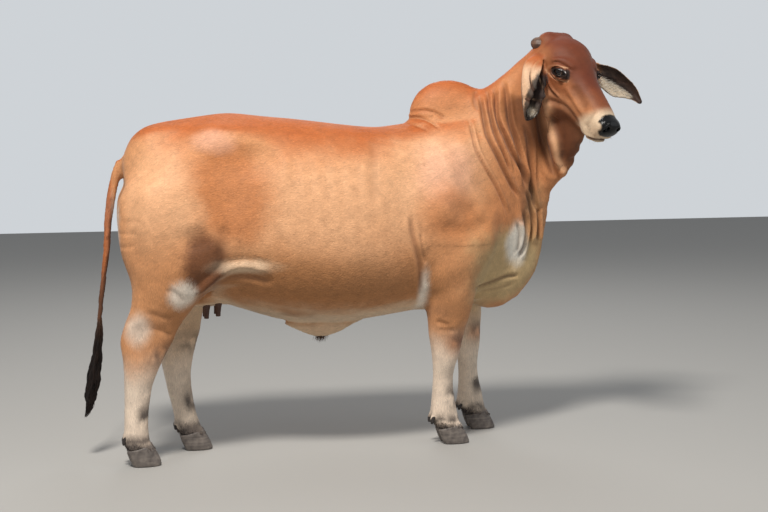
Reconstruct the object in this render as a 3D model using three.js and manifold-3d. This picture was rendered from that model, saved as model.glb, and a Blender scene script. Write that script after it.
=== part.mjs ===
// Brahman cow, standing with its head turned to its right: a still, life-size model.
// Millimetres, +Z up. The animal faces +X, its right side is -Y, and its soles rest on z = 0.
import * as THREE from "three";
import { mergeVertices } from "three/addons/utils/BufferGeometryUtils.js";
import ManifoldModule from "manifold-3d";

const wasm = await ManifoldModule();
wasm.setup();

// Driving dimensions
const GAP = 0.3; // between pieces that meet
const KNEE_CUT = 352; // height where a foreleg is parted
const HOCK_CUT = 470; // height where a hind leg is parted
const ELBOW_CUT = 655; // height where a foreleg leaves the chest
const STIFLE_CUT = 765; // height where a hind leg leaves the thigh
const HUMP_CUT = 1372; // height of the hump's base
const FLAP_CUT = 522; // height where the navel flap leaves the belly
const UDDER_CUT = 650; // height where the udder leaves the groin
const CORONET = { height: 74, slope: 13 }; // top of a hoof below the leg's centre, and its slant in degrees
const EYE = { along: 186, up: -40, radius: 21, sunk: 13 };
const TEAT = { length: 46, radius: 11 };
const CLAW = { width: 51, apart: 27 };

// Colours of the coat and the bare parts
const COLOURS = {
  coat: 0xb86a36,
  headCoat: 0x9c4e28,
  cream: 0xd9b48c,
  horn: 0x4b4541,
  hoof: 0x56504b,
  eye: 0x120c09,
  teat: 0x4a2a22,
  switchHair: 0x17120f,
};

// Vectors are [x, y, z] lists.
const add = (a, b) => [a[0] + b[0], a[1] + b[1], a[2] + b[2]];
const sub = (a, b) => [a[0] - b[0], a[1] - b[1], a[2] - b[2]];
const scale = (a, k) => [a[0] * k, a[1] * k, a[2] * k];
const dot = (a, b) => a[0] * b[0] + a[1] * b[1] + a[2] * b[2];
const cross = (a, b) => [
  a[1] * b[2] - a[2] * b[1],
  a[2] * b[0] - a[0] * b[2],
  a[0] * b[1] - a[1] * b[0],
];
const unit = (a) => scale(a, 1 / Math.hypot(...a));
const mix = (a, b, t) => a + (b - a) * t;

// A frame holds an origin and three directions. Its local coordinates are along, up and side.
const frame = (origin, axis, up, side) => ({ origin, axis, up, side });
const X = [1, 0, 0];
const Y = [0, 1, 0];
const Z = [0, 0, 1];
const ALONG_BODY = frame([0, 0, 0], X, Z, Y);
const ALONG_LEG = frame([0, 0, 0], Z, X, Y);

function toWorld(f, along, up, side) {
  return add(f.origin, add(scale(f.axis, along), add(scale(f.up, up), scale(f.side, side))));
}

// The neck rises forward, and the head hangs from the poll, turned to the animal's right.
const NECK_RISE = THREE.MathUtils.degToRad(52);
const NECK = frame(
  [760, 0, 1150],
  [Math.cos(NECK_RISE), 0, Math.sin(NECK_RISE)],
  [-Math.sin(NECK_RISE), 0, Math.cos(NECK_RISE)],
  Y,
);
const HEAD_TURN = THREE.MathUtils.degToRad(-68);
const HEAD_DROP = THREE.MathUtils.degToRad(45);
const HEAD = frame(
  [1106, -130, 1709],
  [
    Math.cos(HEAD_TURN) * Math.cos(HEAD_DROP),
    Math.sin(HEAD_TURN) * Math.cos(HEAD_DROP),
    -Math.sin(HEAD_DROP),
  ],
  [
    Math.cos(HEAD_TURN) * Math.sin(HEAD_DROP),
    Math.sin(HEAD_TURN) * Math.sin(HEAD_DROP),
    Math.cos(HEAD_DROP),
  ],
  [-Math.sin(HEAD_TURN), Math.cos(HEAD_TURN), 0],
);

// Smooth values between stations, with no overshoot. A station is [s, value, value, ...].
function between(stations) {
  const n = stations.length;
  const slopes = stations.map((row, i) => row.map((v, k) => {
    if (i === 0 || i === n - 1) return 0;
    const [before, after] = [stations[i - 1], stations[i + 1]];
    const left = (row[k] - before[k]) / (row[0] - before[0]);
    const right = (after[k] - row[k]) / (after[0] - row[0]);
    return left * right <= 0 ? 0 : (2 * left * right) / (left + right);
  }));
  return (s) => {
    if (s <= stations[0][0]) return stations[0];
    if (s >= stations[n - 1][0]) return stations[n - 1];
    let i = 0;
    while (stations[i + 1][0] < s) i++;
    const [a, b] = [stations[i], stations[i + 1]];
    const h = b[0] - a[0];
    const t = (s - a[0]) / h;
    const [t2, t3] = [t * t, t * t * t];
    return a.map((v, k) =>
      (2 * t3 - 3 * t2 + 1) * v + (t3 - 2 * t2 + t) * h * slopes[i][k]
      + (3 * t2 - 2 * t3) * b[k] + (t3 - t2) * h * slopes[i + 1][k]);
  };
}

// A loft's stations are [along, side, low, high, halfWidth]: a rounded section from low to high.
// A sixth value swings the section about its low end, in degrees.
function loft(f, stations, { cap = 60, power = 2, egg = 0 } = {}) {
  const at = between(stations);
  const [first, last] = [stations[0][0], stations[stations.length - 1][0]];
  return (p) => {
    const q = sub(p, f.origin);
    const s = dot(q, f.axis);
    const [, side, low, high, half, swing = 0] = at(s);
    const tall = (high - low) / 2;
    const [c, d] = [Math.cos(swing * Math.PI / 180), Math.sin(swing * Math.PI / 180)];
    const [above, beside] = [dot(q, f.up) - low, dot(q, f.side) - side];
    const v = (above * c + beside * d - tall) / tall;
    const u = (beside * c - above * d) / (half * (1 - egg * Math.max(-1, Math.min(1, v))));
    const over = Math.max(first - s, s - last, 0) / cap;
    const [au, av] = [Math.abs(u) + 1e-6, Math.abs(v) + 1e-6];
    const sum = au ** power + av ** power + over ** power;
    const reach = sum ** (1 / power);
    const slope = Math.hypot(
      au ** (power - 1) / half,
      av ** (power - 1) / tall,
      over > 0 ? over ** (power - 1) / cap : 0,
    ) * reach ** (1 - power);
    return (reach - 1) / slope;
  };
}

// An egg of given half sizes along, up and side of its frame.
function ball(f, halves) {
  return (p) => {
    const q = sub(p, f.origin);
    const r = [dot(q, f.axis) / halves[0], dot(q, f.up) / halves[1], dot(q, f.side) / halves[2]];
    const reach = Math.hypot(...r) + 1e-6;
    const slope = Math.hypot(r[0] / halves[0], r[1] / halves[1], r[2] / halves[2]) + 1e-9;
    return (reach * (reach - 1)) / slope;
  };
}

// A rounded cord through [point, radius] pairs.
function cord(points) {
  return (p) => {
    let nearest = 1e6;
    for (let i = 0; i < points.length - 1; i++) {
      const [[a, ra], [b, rb]] = [points[i], points[i + 1]];
      const ab = sub(b, a);
      const t = Math.max(0, Math.min(1, dot(sub(p, a), ab) / dot(ab, ab)));
      nearest = Math.min(nearest, Math.hypot(...sub(p, add(a, scale(ab, t)))) - mix(ra, rb, t));
    }
    return nearest;
  };
}

const smoothMin = (a, b, k) => {
  const h = Math.max(k - Math.abs(a - b), 0) / k;
  return Math.min(a, b) - (h * h * h * k) / 6;
};

// Joins [shape, blend] pairs into one rounded mass.
function blend(pairs) {
  return (p) => pairs.reduce((sum, [shape, k]) => smoothMin(sum, shape(p), k), 1e6);
}

// A frame in the side plane, tipped forward by some degrees.
function tipped(origin, degrees, turn = 0) {
  const [t, r] = [THREE.MathUtils.degToRad(degrees), THREE.MathUtils.degToRad(turn)];
  const axis = [Math.cos(t) * Math.cos(r), Math.cos(t) * Math.sin(r), Math.sin(t)];
  const side = [-Math.sin(r), Math.cos(r), 0];
  return frame(origin, axis, cross(axis, side), side);
}

// Trunk, belly flap, brisket and hump
const TRUNK = [
  [-610, 0, 1020, 1344, 112],
  [-540, 0, 900, 1362, 176],
  [-460, 0, 780, 1375, 222],
  [-360, 0, 660, 1391, 250],
  [-260, 0, 606, 1399, 268],
  [-150, 0, 572, 1387, 292],
  [0, 0, 540, 1374, 322],
  [150, 0, 530, 1356, 330],
  [300, 0, 538, 1340, 318],
  [450, 0, 556, 1342, 282],
  [600, 0, 574, 1368, 248],
  [740, 0, 600, 1372, 212],
  [860, 0, 660, 1335, 168],
  [930, 0, 740, 1250, 130],
];
const BELLY_FLAP = [
  [-160, 0, 560, 640, 26],
  [-69, 0, 525, 620, 26],
  [0, 0, 490, 620, 24],
  [60, 0, 462, 620, 21],
  [100, 0, 453, 620, 20],
  [150, 0, 461, 620, 20],
  [200, 0, 480, 620, 22],
  [260, 0, 516, 620, 26],
  [340, 0, 541, 620, 30],
];
const HUMP = ball(tipped([668, 0, 1382], -4), [174, 154, 86]);
const PERINEUM = ball(tipped([-585, 0, 1110], 82), [200, 74, 78]);
const BRISKET = ball(tipped([835, 0, 715], 12), [178, 152, 112]);

const SIDES = [["left", 1], ["right", -1]];

// Muscle masses of one side. The flank is -1 on the right and 1 on the left.
function muscles(flank) {
  const y = (v) => v * flank;
  return [
    [ball(tipped([640, y(160), 1050], 68, y(-38)), [285, 150, 84]), 90], // shoulder blade
    [ball(tipped([690, y(185), 850], 60), [165, 118, 82]), 60], // upper arm
    [ball(tipped([-480, y(146), 985], 64, y(-16)), [315, 210, 134]), 90], // haunch
    [ball(tipped([-606, y(92), 1225], 64), [135, 82, 70]), 80], // pin bone and the muscle below it
    [ball(tipped([-290, y(140), 1270], -6), [150, 80, 84]), 100], // hook bone
  ];
}

// Legs. A station is [height, side, back, front, halfWidth], with x as it is at that height.
const FORELEG = [
  [90, -107, 570, 678, 50],
  [115, -108, 552, 672, 50],
  [145, -109, 551, 667, 49],
  [185, -111, 555, 660, 43],
  [235, -114, 558, 650, 39],
  [290, -118, 561, 649, 41],
  [325, -122, 560, 653, 50],
  [365, -127, 556, 667, 54],
  [405, -131, 550, 678, 54],
  [460, -137, 540, 687, 58],
  [530, -146, 533, 708, 66],
  [600, -156, 524, 725, 76],
  [680, -168, 514, 738, 86],
  [780, -178, 500, 748, 92],
];
const HINDLEG = [
  [90, -160, -722, -612, 49],
  [115, -160, -721, -620, 48],
  [160, -160, -720, -622, 45],
  [240, -160, -718, -614, 38],
  [315, -161, -717, -600, 41],
  [370, -163, -716, -580, 48],
  [430, -166, -718, -552, 54],
  [490, -170, -727, -518, 52],
  [540, -175, -722, -497, 52],
  [600, -182, -693, -456, 66],
  [660, -186, -676, -405, 84],
  [740, -188, -678, -300, 98],
  [840, -186, -712, -250, 112],
  [960, -180, -728, -262, 118],
  [1080, -170, -720, -300, 110],
];

// How far each left leg stands ahead of the right one, as [height, ahead].
const LEFT_FORE_AHEAD = between([[0, 192], [200, 190], [400, 172], [540, 150], [700, 96], [800, 60]]);
const LEFT_HIND_AHEAD = between([
  [0, 235], [60, 228], [140, 210], [250, 183], [340, 162], [430, 145], [520, 125], [620, 88],
  [760, 45], [900, 12], [1000, 0],
]);
const FORE_TRACK = between([[0, 240], [300, 250], [800, 356]]);
const HIND_TRACK = between([[0, 222], [300, 240], [600, 330], [900, 368]]);

function leftLeg(stations, ahead, track) {
  return stations.map(([z, y, back, front, half]) =>
    [z, y + track(z)[1], back + ahead(z)[1], front + ahead(z)[1], half]);
}

const LEGS = {
  foreleg_right: { stations: FORELEG, cut: KNEE_CUT },
  foreleg_left: { stations: leftLeg(FORELEG, LEFT_FORE_AHEAD, FORE_TRACK), cut: KNEE_CUT },
  hindleg_right: { stations: HINDLEG, cut: HOCK_CUT },
  hindleg_left: { stations: leftLeg(HINDLEG, LEFT_HIND_AHEAD, HIND_TRACK), cut: HOCK_CUT },
};

// Tail, as [point, radius] from its root to the end of its bone
const TAIL = [
  [[-560, 0, 1325], 30],
  [[-618, 0, 1302], 31],
  [[-664, 0, 1252], 28],
  [[-694, 0, 1204], 24],
  [[-720, 0, 1150], 20],
  [[-742, 0, 1062], 19],
  [[-757, 0, 966], 16],
  [[-764, 0, 857], 15],
  [[-779, 0, 745], 13],
  [[-793, 0, 640], 12],
  [[-800, 0, 560], 11],
];
const TAIL_PARTED = 3; // the point where the tail leaves the rump

// Neck and dewlap
const NECK_STATIONS = [
  [-170, 0, -290, 185, 175],
  [0, 0, -290, 225, 156],
  [150, -14, -268, 212, 128],
  [280, -42, -240, 178, 106],
  [400, -84, -200, 150, 92],
  [520, -124, -140, 130, 84],
  [600, -140, -80, 100, 74],
];
const DEWLAP = [
  [600, 0, 800, 965, 62, 0],
  [660, 0, 790, 1018, 64, 0],
  [720, 0, 800, 1062, 56, -1],
  [800, -3, 840, 1083, 48, -2],
  [881, -8, 880, 1092, 42, -6],
  [970, -16, 925, 1108, 37, -11],
  [1044, -32, 960, 1106, 35, -19],
  [1125, -52, 998, 1171, 34, -27],
  [1180, -70, 1030, 1207, 33, -34],
  [1250, -95, 1060, 1243, 34, -50],
  [1320, -120, 1085, 1262, 36, -58],
  [1380, -140, 1100, 1262, 34, -64],
];

// Head, in its own frame: along from the poll to the nose, up out of the forehead.
const SKULL = [
  [14, 0, -150, 4, 84],
  [60, 0, -180, 43, 104],
  [120, 0, -206, 58, 114],
  [180, 0, -218, 48, 109],
  [240, 0, -212, 24, 90],
  [310, 0, -180, 8, 70],
  [380, 0, -156, 0, 61],
  [440, 0, -150, -10, 59],
  [476, 0, -136, -26, 55],
];
const headFrame = (along, up, side) => frame(toWorld(HEAD, along, up, side), HEAD.axis, HEAD.up, HEAD.side);
const headShape = blend([
  [loft(HEAD, SKULL, { cap: 30, power: 2.35, egg: -0.08 }), 20],
  [ball(headFrame(168, -14, 70), [54, 26, 40]), 30], // brows
  [ball(headFrame(168, -14, -70), [54, 26, 40]), 30],
  [ball(headFrame(20, -40, 0), [60, 64, 90]), 40], // poll
  [ball(headFrame(232, -150, 52), [72, 62, 30]), 34], // cheeks
  [ball(headFrame(232, -150, -52), [72, 62, 30]), 34],
  [ball(headFrame(486, -58, 0), [38, 42, 62]), 22], // nose
  [ball(headFrame(456, -122, 0), [40, 32, 46]), 24], // chin
]);

const neckShape = blend([
  [loft(NECK, NECK_STATIONS, { cap: 70 }), 40],
  [loft(ALONG_LEG, DEWLAP, { cap: 30 }), 55],
]);
const udderShape = ball(tipped([-355, 0, 664], 12), [118, 60, 84]);
const legShape = (name) => loft(ALONG_LEG, LEGS[name].stations, { cap: 60, power: 2.2 });

const wholeShape = blend([
  [loft(ALONG_BODY, TRUNK, { cap: 60, power: 2.25, egg: 0.12 }), 60],
  [loft(ALONG_BODY, BELLY_FLAP, { cap: 40 }), 50],
  ...muscles(-1),
  ...muscles(1),
  [BRISKET, 70],
  [PERINEUM, 60],
  [HUMP, 46],
  [neckShape, 80],
  [udderShape, 40],
  [cord(TAIL.slice(0, TAIL_PARTED + 2)), 30],
  ...Object.keys(LEGS).map((name) => [legShape(name), 46]),
]);
const bodyAndHead = blend([[wholeShape, 40], [headShape, 46]]);

// The slope of a field, and a point moved along it to the field's surface
function slopeAt(field, p) {
  const d = 1.5;
  return [X, Y, Z].map((e) => (field(add(p, scale(e, d))) - field(sub(p, scale(e, d)))) / (2 * d));
}

function ontoSurface(field, p) {
  let q = p;
  for (let i = 0; i < 2; i++) {
    const g = slopeAt(field, q);
    const step = field(q) / Math.max(dot(g, g), 0.05);
    q = sub(q, scale(g, Math.max(-12, Math.min(12, step))));
  }
  return q;
}

// The 12 edges of a cell as [corner, other corner], and its 6 faces as rings of 4 edges
const CELL_CORNERS = [0, 1, 2, 3, 4, 5, 6, 7].map((c) => [c & 1, (c >> 1) & 1, (c >> 2) & 1]);
const CELL_EDGES = CELL_CORNERS.flatMap((_, a) =>
  [1, 2, 4].filter((bit) => !(a & bit)).map((bit) => [a, a | bit]));
const edgeOf = (a, b) => CELL_EDGES.findIndex(([p, q]) => p === Math.min(a, b) && q === Math.max(a, b));
const CELL_FACES = [[1, 2, 4], [2, 4, 1], [4, 1, 2]].flatMap(([u, v, w]) =>
  [0, w].map((base) => [base, base | u, base | u | v, base | v]));
const FACE_EDGES = CELL_FACES.map((ring) => ring.map((c, n) => edgeOf(c, ring[(n + 1) % 4])));

// Groups a cell's crossed edges into the separate sheets of surface that pass through it.
function sheetsOf(inside) {
  const sheet = CELL_EDGES.map(([a, b], n) => (inside[a] !== inside[b] ? n : -1));
  const unite = (a, b) => {
    const [from, to] = [sheet[a], sheet[b]];
    sheet.forEach((v, n) => {
      if (v === from) sheet[n] = to;
    });
  };
  CELL_FACES.forEach((ring, face) => {
    const edges = FACE_EDGES[face];
    const crossed = edges.filter((e) => sheet[e] >= 0);
    if (crossed.length === 2) unite(...crossed);
    if (crossed.length === 4)
      ring.forEach((c, n) => {
        if (inside[c]) unite(edges[n], edges[(n + 3) % 4]);
      });
  });
  return sheet;
}

// A closed mesh of a field inside a box, with a corner for each sheet in each cell it crosses
function netSolid(field, low, high, cell) {
  const count = cell.map((c, k) => Math.ceil((high[k] - low[k]) / c) + 1);
  const step = count.map((n, k) => (high[k] - low[k]) / (n - 1));
  const at = (i, j, k) => [low[0] + i * step[0], low[1] + j * step[1], low[2] + k * step[2]];
  const boxed = (p) => Math.max(
    field(p),
    ...p.map((v, k) => Math.max(low[k] - v, v - high[k]) + step[k] * 0.6),
  );
  const index = (i, j, k) => i + count[0] * (j + count[1] * k);
  const value = new Float64Array(count[0] * count[1] * count[2]);
  for (let k = 0; k < count[2]; k++)
    for (let j = 0; j < count[1]; j++)
      for (let i = 0; i < count[0]; i++) value[index(i, j, k)] = boxed(at(i, j, k)) || 1e-6;
  const corners = [];
  const cornersOf = new Map();
  for (let k = 0; k < count[2] - 1; k++)
    for (let j = 0; j < count[1] - 1; j++)
      for (let i = 0; i < count[0] - 1; i++) {
        const values = CELL_CORNERS.map(([a, b, c]) => value[index(i + a, j + b, k + c)]);
        const inside = values.map((v) => v < 0);
        if (inside.every((v) => v === inside[0])) continue;
        const sheet = sheetsOf(inside);
        const made = new Map();
        for (const name of new Set(sheet.filter((v) => v >= 0))) {
          let [sum, n] = [[0, 0, 0], 0];
          CELL_EDGES.forEach(([a, b], e) => {
            if (sheet[e] !== name) return;
            const t = values[a] / (values[a] - values[b]);
            sum = add(sum, CELL_CORNERS[a].map((v, m) => mix(v, CELL_CORNERS[b][m], t)));
            n++;
          });
          made.set(name, corners.length);
          corners.push(add(at(i, j, k), sum.map((v, m) => (v / n) * step[m])));
        }
        cornersOf.set(index(i, j, k), sheet.map((name) => made.get(name)));
      }
  const quads = [];
  const steps = [[1, 0, 0], [0, 1, 0], [0, 0, 1]];
  for (let k = 0; k < count[2] - 1; k++)
    for (let j = 0; j < count[1] - 1; j++)
      for (let i = 0; i < count[0] - 1; i++)
        for (let m = 0; m < 3; m++) {
          const here = value[index(i, j, k)];
          const there = value[index(i + steps[m][0], j + steps[m][1], k + steps[m][2])];
          if (here > 0 === there > 0) continue;
          const [um, vm] = [(m + 1) % 3, (m + 2) % 3];
          const [u, v] = [steps[um], steps[vm]];
          const around = [[0, 0], [1, 0], [1, 1], [0, 1]].map(([a, b]) => {
            const corner = (a << um) | (b << vm);
            const found = index(i - a * u[0] - b * v[0], j - a * u[1] - b * v[1], k - a * u[2] - b * v[2]);
            return cornersOf.get(found)[edgeOf(corner, corner | (1 << m))];
          });
          quads.push(here < 0 ? around : around.reverse());
        }
  relax(corners, quads, boxed);
  const triangles = quads.flatMap(([a, b, c, d]) => {
    const short = Math.hypot(...sub(corners[a], corners[c])) <= Math.hypot(...sub(corners[b], corners[d]));
    return short ? [a, b, c, a, c, d] : [a, b, d, b, c, d];
  });
  return largest(solidFrom(corners, triangles));
}

// Evens out the net, and moves its corners back to the surface.
function relax(corners, quads, field) {
  const near = corners.map(() => new Set());
  for (const quad of quads)
    quad.forEach((a, n) => near[a].add(quad[(n + 1) % 4]).add(quad[(n + 3) % 4]));
  for (let round = 0; round < 3; round++) {
    const moved = corners.map((p, a) => {
      const others = [...near[a]];
      const middle = scale(others.reduce((sum, b) => add(sum, corners[b]), [0, 0, 0]), 1 / others.length);
      return ontoSurface(field, add(scale(p, 0.45), scale(middle, 0.55)));
    });
    moved.forEach((p, a) => {
      corners[a] = p;
    });
  }
}

// Solids
function solidFrom(corners, triangles) {
  const geometry = new THREE.BufferGeometry();
  geometry.setAttribute("position", new THREE.Float32BufferAttribute(corners.flat(), 3));
  geometry.setIndex(triangles);
  return solidOf(geometry);
}

function solidOf(geometry) {
  const bare = new THREE.BufferGeometry();
  bare.setAttribute("position", geometry.getAttribute("position"));
  bare.setIndex(geometry.index);
  const merged = mergeVertices(bare, 1e-3);
  return new wasm.Manifold(new wasm.Mesh({
    numProp: 3,
    vertProperties: merged.attributes.position.array,
    triVerts: new Uint32Array(merged.index.array),
  }));
}

const join = (solids) => solids.reduce((sum, solid) => sum.add(solid));
const largest = (solid) => solid.decompose().sort((a, b) => b.volume() - a.volume())[0];

function boxSolid(low, high, grow = 0) {
  const size = high.map((v, k) => v - low[k] + 2 * grow);
  const geometry = new THREE.BoxGeometry(...size);
  geometry.translate(...high.map((v, k) => (v + low[k]) / 2));
  return solidOf(geometry);
}

// A box in a frame, whose face at the frame's origin is the cut.
function cutBox(f, reach, halfUp, halfSide, grow = 0) {
  const geometry = new THREE.BoxGeometry(reach + grow, 2 * halfUp, 2 * halfSide);
  geometry.translate((reach + grow) / 2 - grow, 0, 0);
  const turn = new THREE.Matrix4().makeBasis(
    new THREE.Vector3(...f.axis),
    new THREE.Vector3(...f.up),
    new THREE.Vector3(...cross(f.axis, f.up)),
  );
  geometry.applyMatrix4(turn.setPosition(...f.origin));
  return solidOf(geometry);
}

// A closed skin through rings of points, ends filled by fans. Rings run so that faces look out.
function ringSolid(rings) {
  const n = rings[0].length;
  const corners = rings.flat();
  const triangles = [];
  for (let r = 0; r < rings.length - 1; r++)
    for (let i = 0; i < n; i++) {
      const [a, b] = [r * n + i, r * n + ((i + 1) % n)];
      triangles.push(a, b, b + n, a, b + n, a + n);
    }
  for (const [ring, flip] of [[0, true], [rings.length - 1, false]]) {
    const middle = corners.length;
    corners.push(scale(rings[ring].reduce(add), 1 / n));
    for (let i = 0; i < n; i++) {
      const [a, b] = [ring * n + i, ring * n + ((i + 1) % n)];
      triangles.push(...(flip ? [b, a, middle] : [a, b, middle]));
    }
  }
  const solid = solidFrom(corners, triangles);
  return solid.volume() < 0 ? solidFrom(corners, triangles.slice().reverse()) : solid;
}

// A tapering limb through points, each [position, halfWide, halfThick], wide along the given side.
// Its first ring can be sunk by some length.
function limb(points, side, sides = 8, sunk = 0) {
  return ringSolid(points.map(([p, wide, thick], i) => {
    const ahead = points[Math.min(i + 1, points.length - 1)][0];
    const behind = points[Math.max(i - 1, 0)][0];
    const along = unit(sub(ahead, behind));
    const across = unit(sub(side, scale(along, dot(side, along))));
    const out = cross(along, across);
    const middle = i === 0 ? sub(p, scale(along, sunk)) : p;
    return Array.from({ length: sides }, (_, k) => {
      const angle = (2 * Math.PI * k) / sides;
      return add(middle, add(scale(across, wide * Math.cos(angle)), scale(out, thick * Math.sin(angle))));
    });
  }));
}

// Meshes
const cow = new THREE.Group();
const materials = {};
function material(colour, roughness = 0.75) {
  const key = colour + "/" + roughness;
  materials[key] ??= { color: colour, roughness, metalness: 0 };
  return new THREE.MeshStandardMaterial(materials[key]);
}

function place(name, solid, colour, roughness) {
  const made = largest(solid).getMesh();
  const geometry = new THREE.BufferGeometry();
  geometry.setAttribute("position", new THREE.BufferAttribute(Float32Array.from(made.vertProperties), 3));
  geometry.setIndex(new THREE.BufferAttribute(Uint32Array.from(made.triVerts), 1));
  geometry.computeVertexNormals();
  const mesh = new THREE.Mesh(geometry, material(colour, roughness));
  mesh.name = name;
  cow.add(mesh);
}

// Moves the sides of a closed outline outwards.
function grownOutline(outline, grow) {
  const n = outline.length;
  const area = outline.reduce((sum, [x, z], i) => {
    const [x2, z2] = outline[(i + 1) % n];
    return sum + x * z2 - x2 * z;
  }, 0);
  const out = outline.map(([x, z], i) => {
    const [x2, z2] = outline[(i + 1) % n];
    const length = Math.hypot(x2 - x, z2 - z) * Math.sign(area);
    return [(z2 - z) / length, (x - x2) / length];
  });
  return outline.map(([x, z], i) => {
    const [before, after] = [out[(i + n - 1) % n], out[i]];
    const k = grow / (1 + before[0] * after[0] + before[1] * after[1]);
    return [x + (before[0] + after[0]) * k, z + (before[1] + after[1]) * k];
  });
}

// A slab with an outline of [x, z] points, from one side to the other
function slabSolid(outline, low, high, grow = 0) {
  const corners = grownOutline(outline, grow).map(([x, z]) => new THREE.Vector2(x, -z));
  const geometry = new THREE.ExtrudeGeometry(new THREE.Shape(corners), {
    depth: high - low + 2 * grow,
    bevelEnabled: false,
  });
  geometry.translate(0, 0, low - grow);
  geometry.applyMatrix4(new THREE.Matrix4().makeBasis(
    new THREE.Vector3(1, 0, 0),
    new THREE.Vector3(0, 0, -1),
    new THREE.Vector3(0, 1, 0),
  ));
  return solidOf(geometry);
}

// The rooms of the legs: side outline, and the reach sideways from the inner face
const FORE_ROOM = [[500, -10], [500, ELBOW_CUT], [775, ELBOW_CUT], [760, 560], [760, -10]];
const HIND_ROOM = [
  [-860, -10], [-860, 740], [-760, 800], [-300, 770], [-262, 700], [-380, 560], [-470, 420], [-520, -10],
];
const LEFT_FORE_ROOM = [[598, -10], [598, ELBOW_CUT], [886, ELBOW_CUT], [905, 560], [960, -10]];
const LEFT_HIND_ROOM = [
  [-860, -10], [-860, 740], [-760, 800], [-260, 770], [-222, 700], [-300, 560], [-310, -10],
];
const INNER_FACE = { fore: 84, hind: 94 };
const BELOW_UDDER = 590;
const lowerHind = (near, far, grow) => boxSolid([-860, near, -10], [-250, far, BELOW_UDDER], grow)
  .add(boxSolid([-860, near, BELOW_UDDER - 20], [-480, far, 790], grow));
const ROOMS = {
  foreleg_right: (grow = 0) => slabSolid(FORE_ROOM, -420, -INNER_FACE.fore, grow),
  foreleg_left: (grow = 0) => slabSolid(LEFT_FORE_ROOM, INNER_FACE.fore, 420, grow),
  hindleg_right: (grow = 0) => slabSolid(HIND_ROOM, -420, -INNER_FACE.hind, grow)
    .add(lowerHind(-420, -2, grow)),
  hindleg_left: (grow = 0) => slabSolid(LEFT_HIND_ROOM, INNER_FACE.hind, 420, grow)
    .add(lowerHind(2, 420, grow)),
};

// Cuts between the other nodes
const NECK_CUT = tipped([885, 0, 1100], 9);
const DEWLAP_CUT = tipped([988, 0, 985], -27);
const HUMP_BASE = tipped([640, 0, HUMP_CUT], 97);
const behindHead = frame(
  toWorld(HEAD, -8, -10, 0),
  unit(add(scale(HEAD.axis, 0.82), scale(HEAD.up, 0.57))),
  unit(sub(scale(HEAD.up, 0.82), scale(HEAD.axis, 0.57))),
  HEAD.side,
);
const underHead = frame(
  toWorld(HEAD, 300, -222, 0),
  unit(add(scale(HEAD.up, 0.98), scale(HEAD.axis, -0.18))),
  unit(add(scale(HEAD.axis, 0.98), scale(HEAD.up, 0.18))),
  HEAD.side,
);
const headRoom = (grow = 0) => cutBox(behindHead, 700, 460, 260, grow)
  .intersect(cutBox(underHead, 460, 420, 260, grow));
const neckRoom = (grow = 0) => cutBox(NECK_CUT, 900, 900, 500, grow);
const dewlapRoom = (grow = 0) => neckRoom(grow).intersect(cutBox(DEWLAP_CUT, 400, 600, 400, grow));
const humpRoom = (grow = 0) => cutBox(HUMP_BASE, 400, 320, 200, grow);
const udderRoom = (grow = 0) => boxSolid([-470, -92, BELOW_UDDER + 1], [-255, 92, UDDER_CUT], grow);
const flapRoom = (grow = 0) => boxSolid([-240, -70, 380], [440, 70, FLAP_CUT], grow);
const tailRoom = (grow = 0) => {
  const [a, b] = [TAIL[TAIL_PARTED][0], TAIL[TAIL_PARTED + 1][0]];
  const axis = unit(sub(b, a));
  return cutBox(frame(a, axis, cross(axis, Y), Y), 160, 31, 31, grow);
};

function buildTorso() {
  let torso = netSolid(wholeShape, [-800, -400, 420], [1060, 400, 1600], [108, 72, 70]);
  for (const room of Object.values(ROOMS)) torso = torso.subtract(room(GAP));
  for (const room of [udderRoom, flapRoom, tailRoom, neckRoom, humpRoom]) torso = torso.subtract(room(GAP));
  place("torso", torso, COLOURS.coat);
}

function buildHump() {
  const hump = netSolid(wholeShape, [410, -190, 1290], [960, 190, 1580], [44, 34, 34]);
  place("hump", hump.intersect(humpRoom()).subtract(neckRoom(GAP)), COLOURS.coat);
}

function buildNeck() {
  let neck = netSolid(bodyAndHead, [780, -440, 540], [1330, 290, 1790], [32, 28, 50]);
  neck = neck.intersect(neckRoom()).subtract(dewlapRoom(GAP)).subtract(headRoom(GAP));
  for (const [side, flank] of SIDES) {
    neck = neck.subtract(earSolid(side, 3.5 * GAP)).subtract(hornSolid(flank, 2 * GAP));
  }
  place("neck", neck, COLOURS.coat);
  const dewlap = netSolid(bodyAndHead, [860, -330, 520], [1300, 180, 1460], [32, 22, 48]);
  place("dewlap", dewlap.intersect(dewlapRoom()).subtract(headRoom(GAP)), COLOURS.coat);
}

function buildFlap() {
  const flap = netSolid(wholeShape, [-230, -110, 420], [400, 110, 580], [40, 15, 24]);
  place("navel_flap", flap.intersect(flapRoom()), COLOURS.cream);
}

function buildUdder() {
  let udder = netSolid(wholeShape, [-520, -130, 540], [-200, 130, 720], [36, 34, 30]);
  udder = udder.intersect(udderRoom());
  for (const [x, y] of [[-325, -40], [-325, 40], [-372, -34], [-372, 34]]) {
    const top = ontoSurface(wholeShape, [x, y, 600]);
    udder = udder.add(limb([
      [add(top, [0, 0, 22]), TEAT.radius + 4, TEAT.radius + 4],
      [add(top, [0, 0, -4]), TEAT.radius + 1, TEAT.radius + 1],
      [add(top, [0, 0, 14 - TEAT.length]), TEAT.radius, TEAT.radius],
      [add(top, [0, 0, -TEAT.length]), TEAT.radius * 0.5, TEAT.radius * 0.5],
    ], X, 6));
  }
  place("udder", udder, COLOURS.cream);
}

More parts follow.
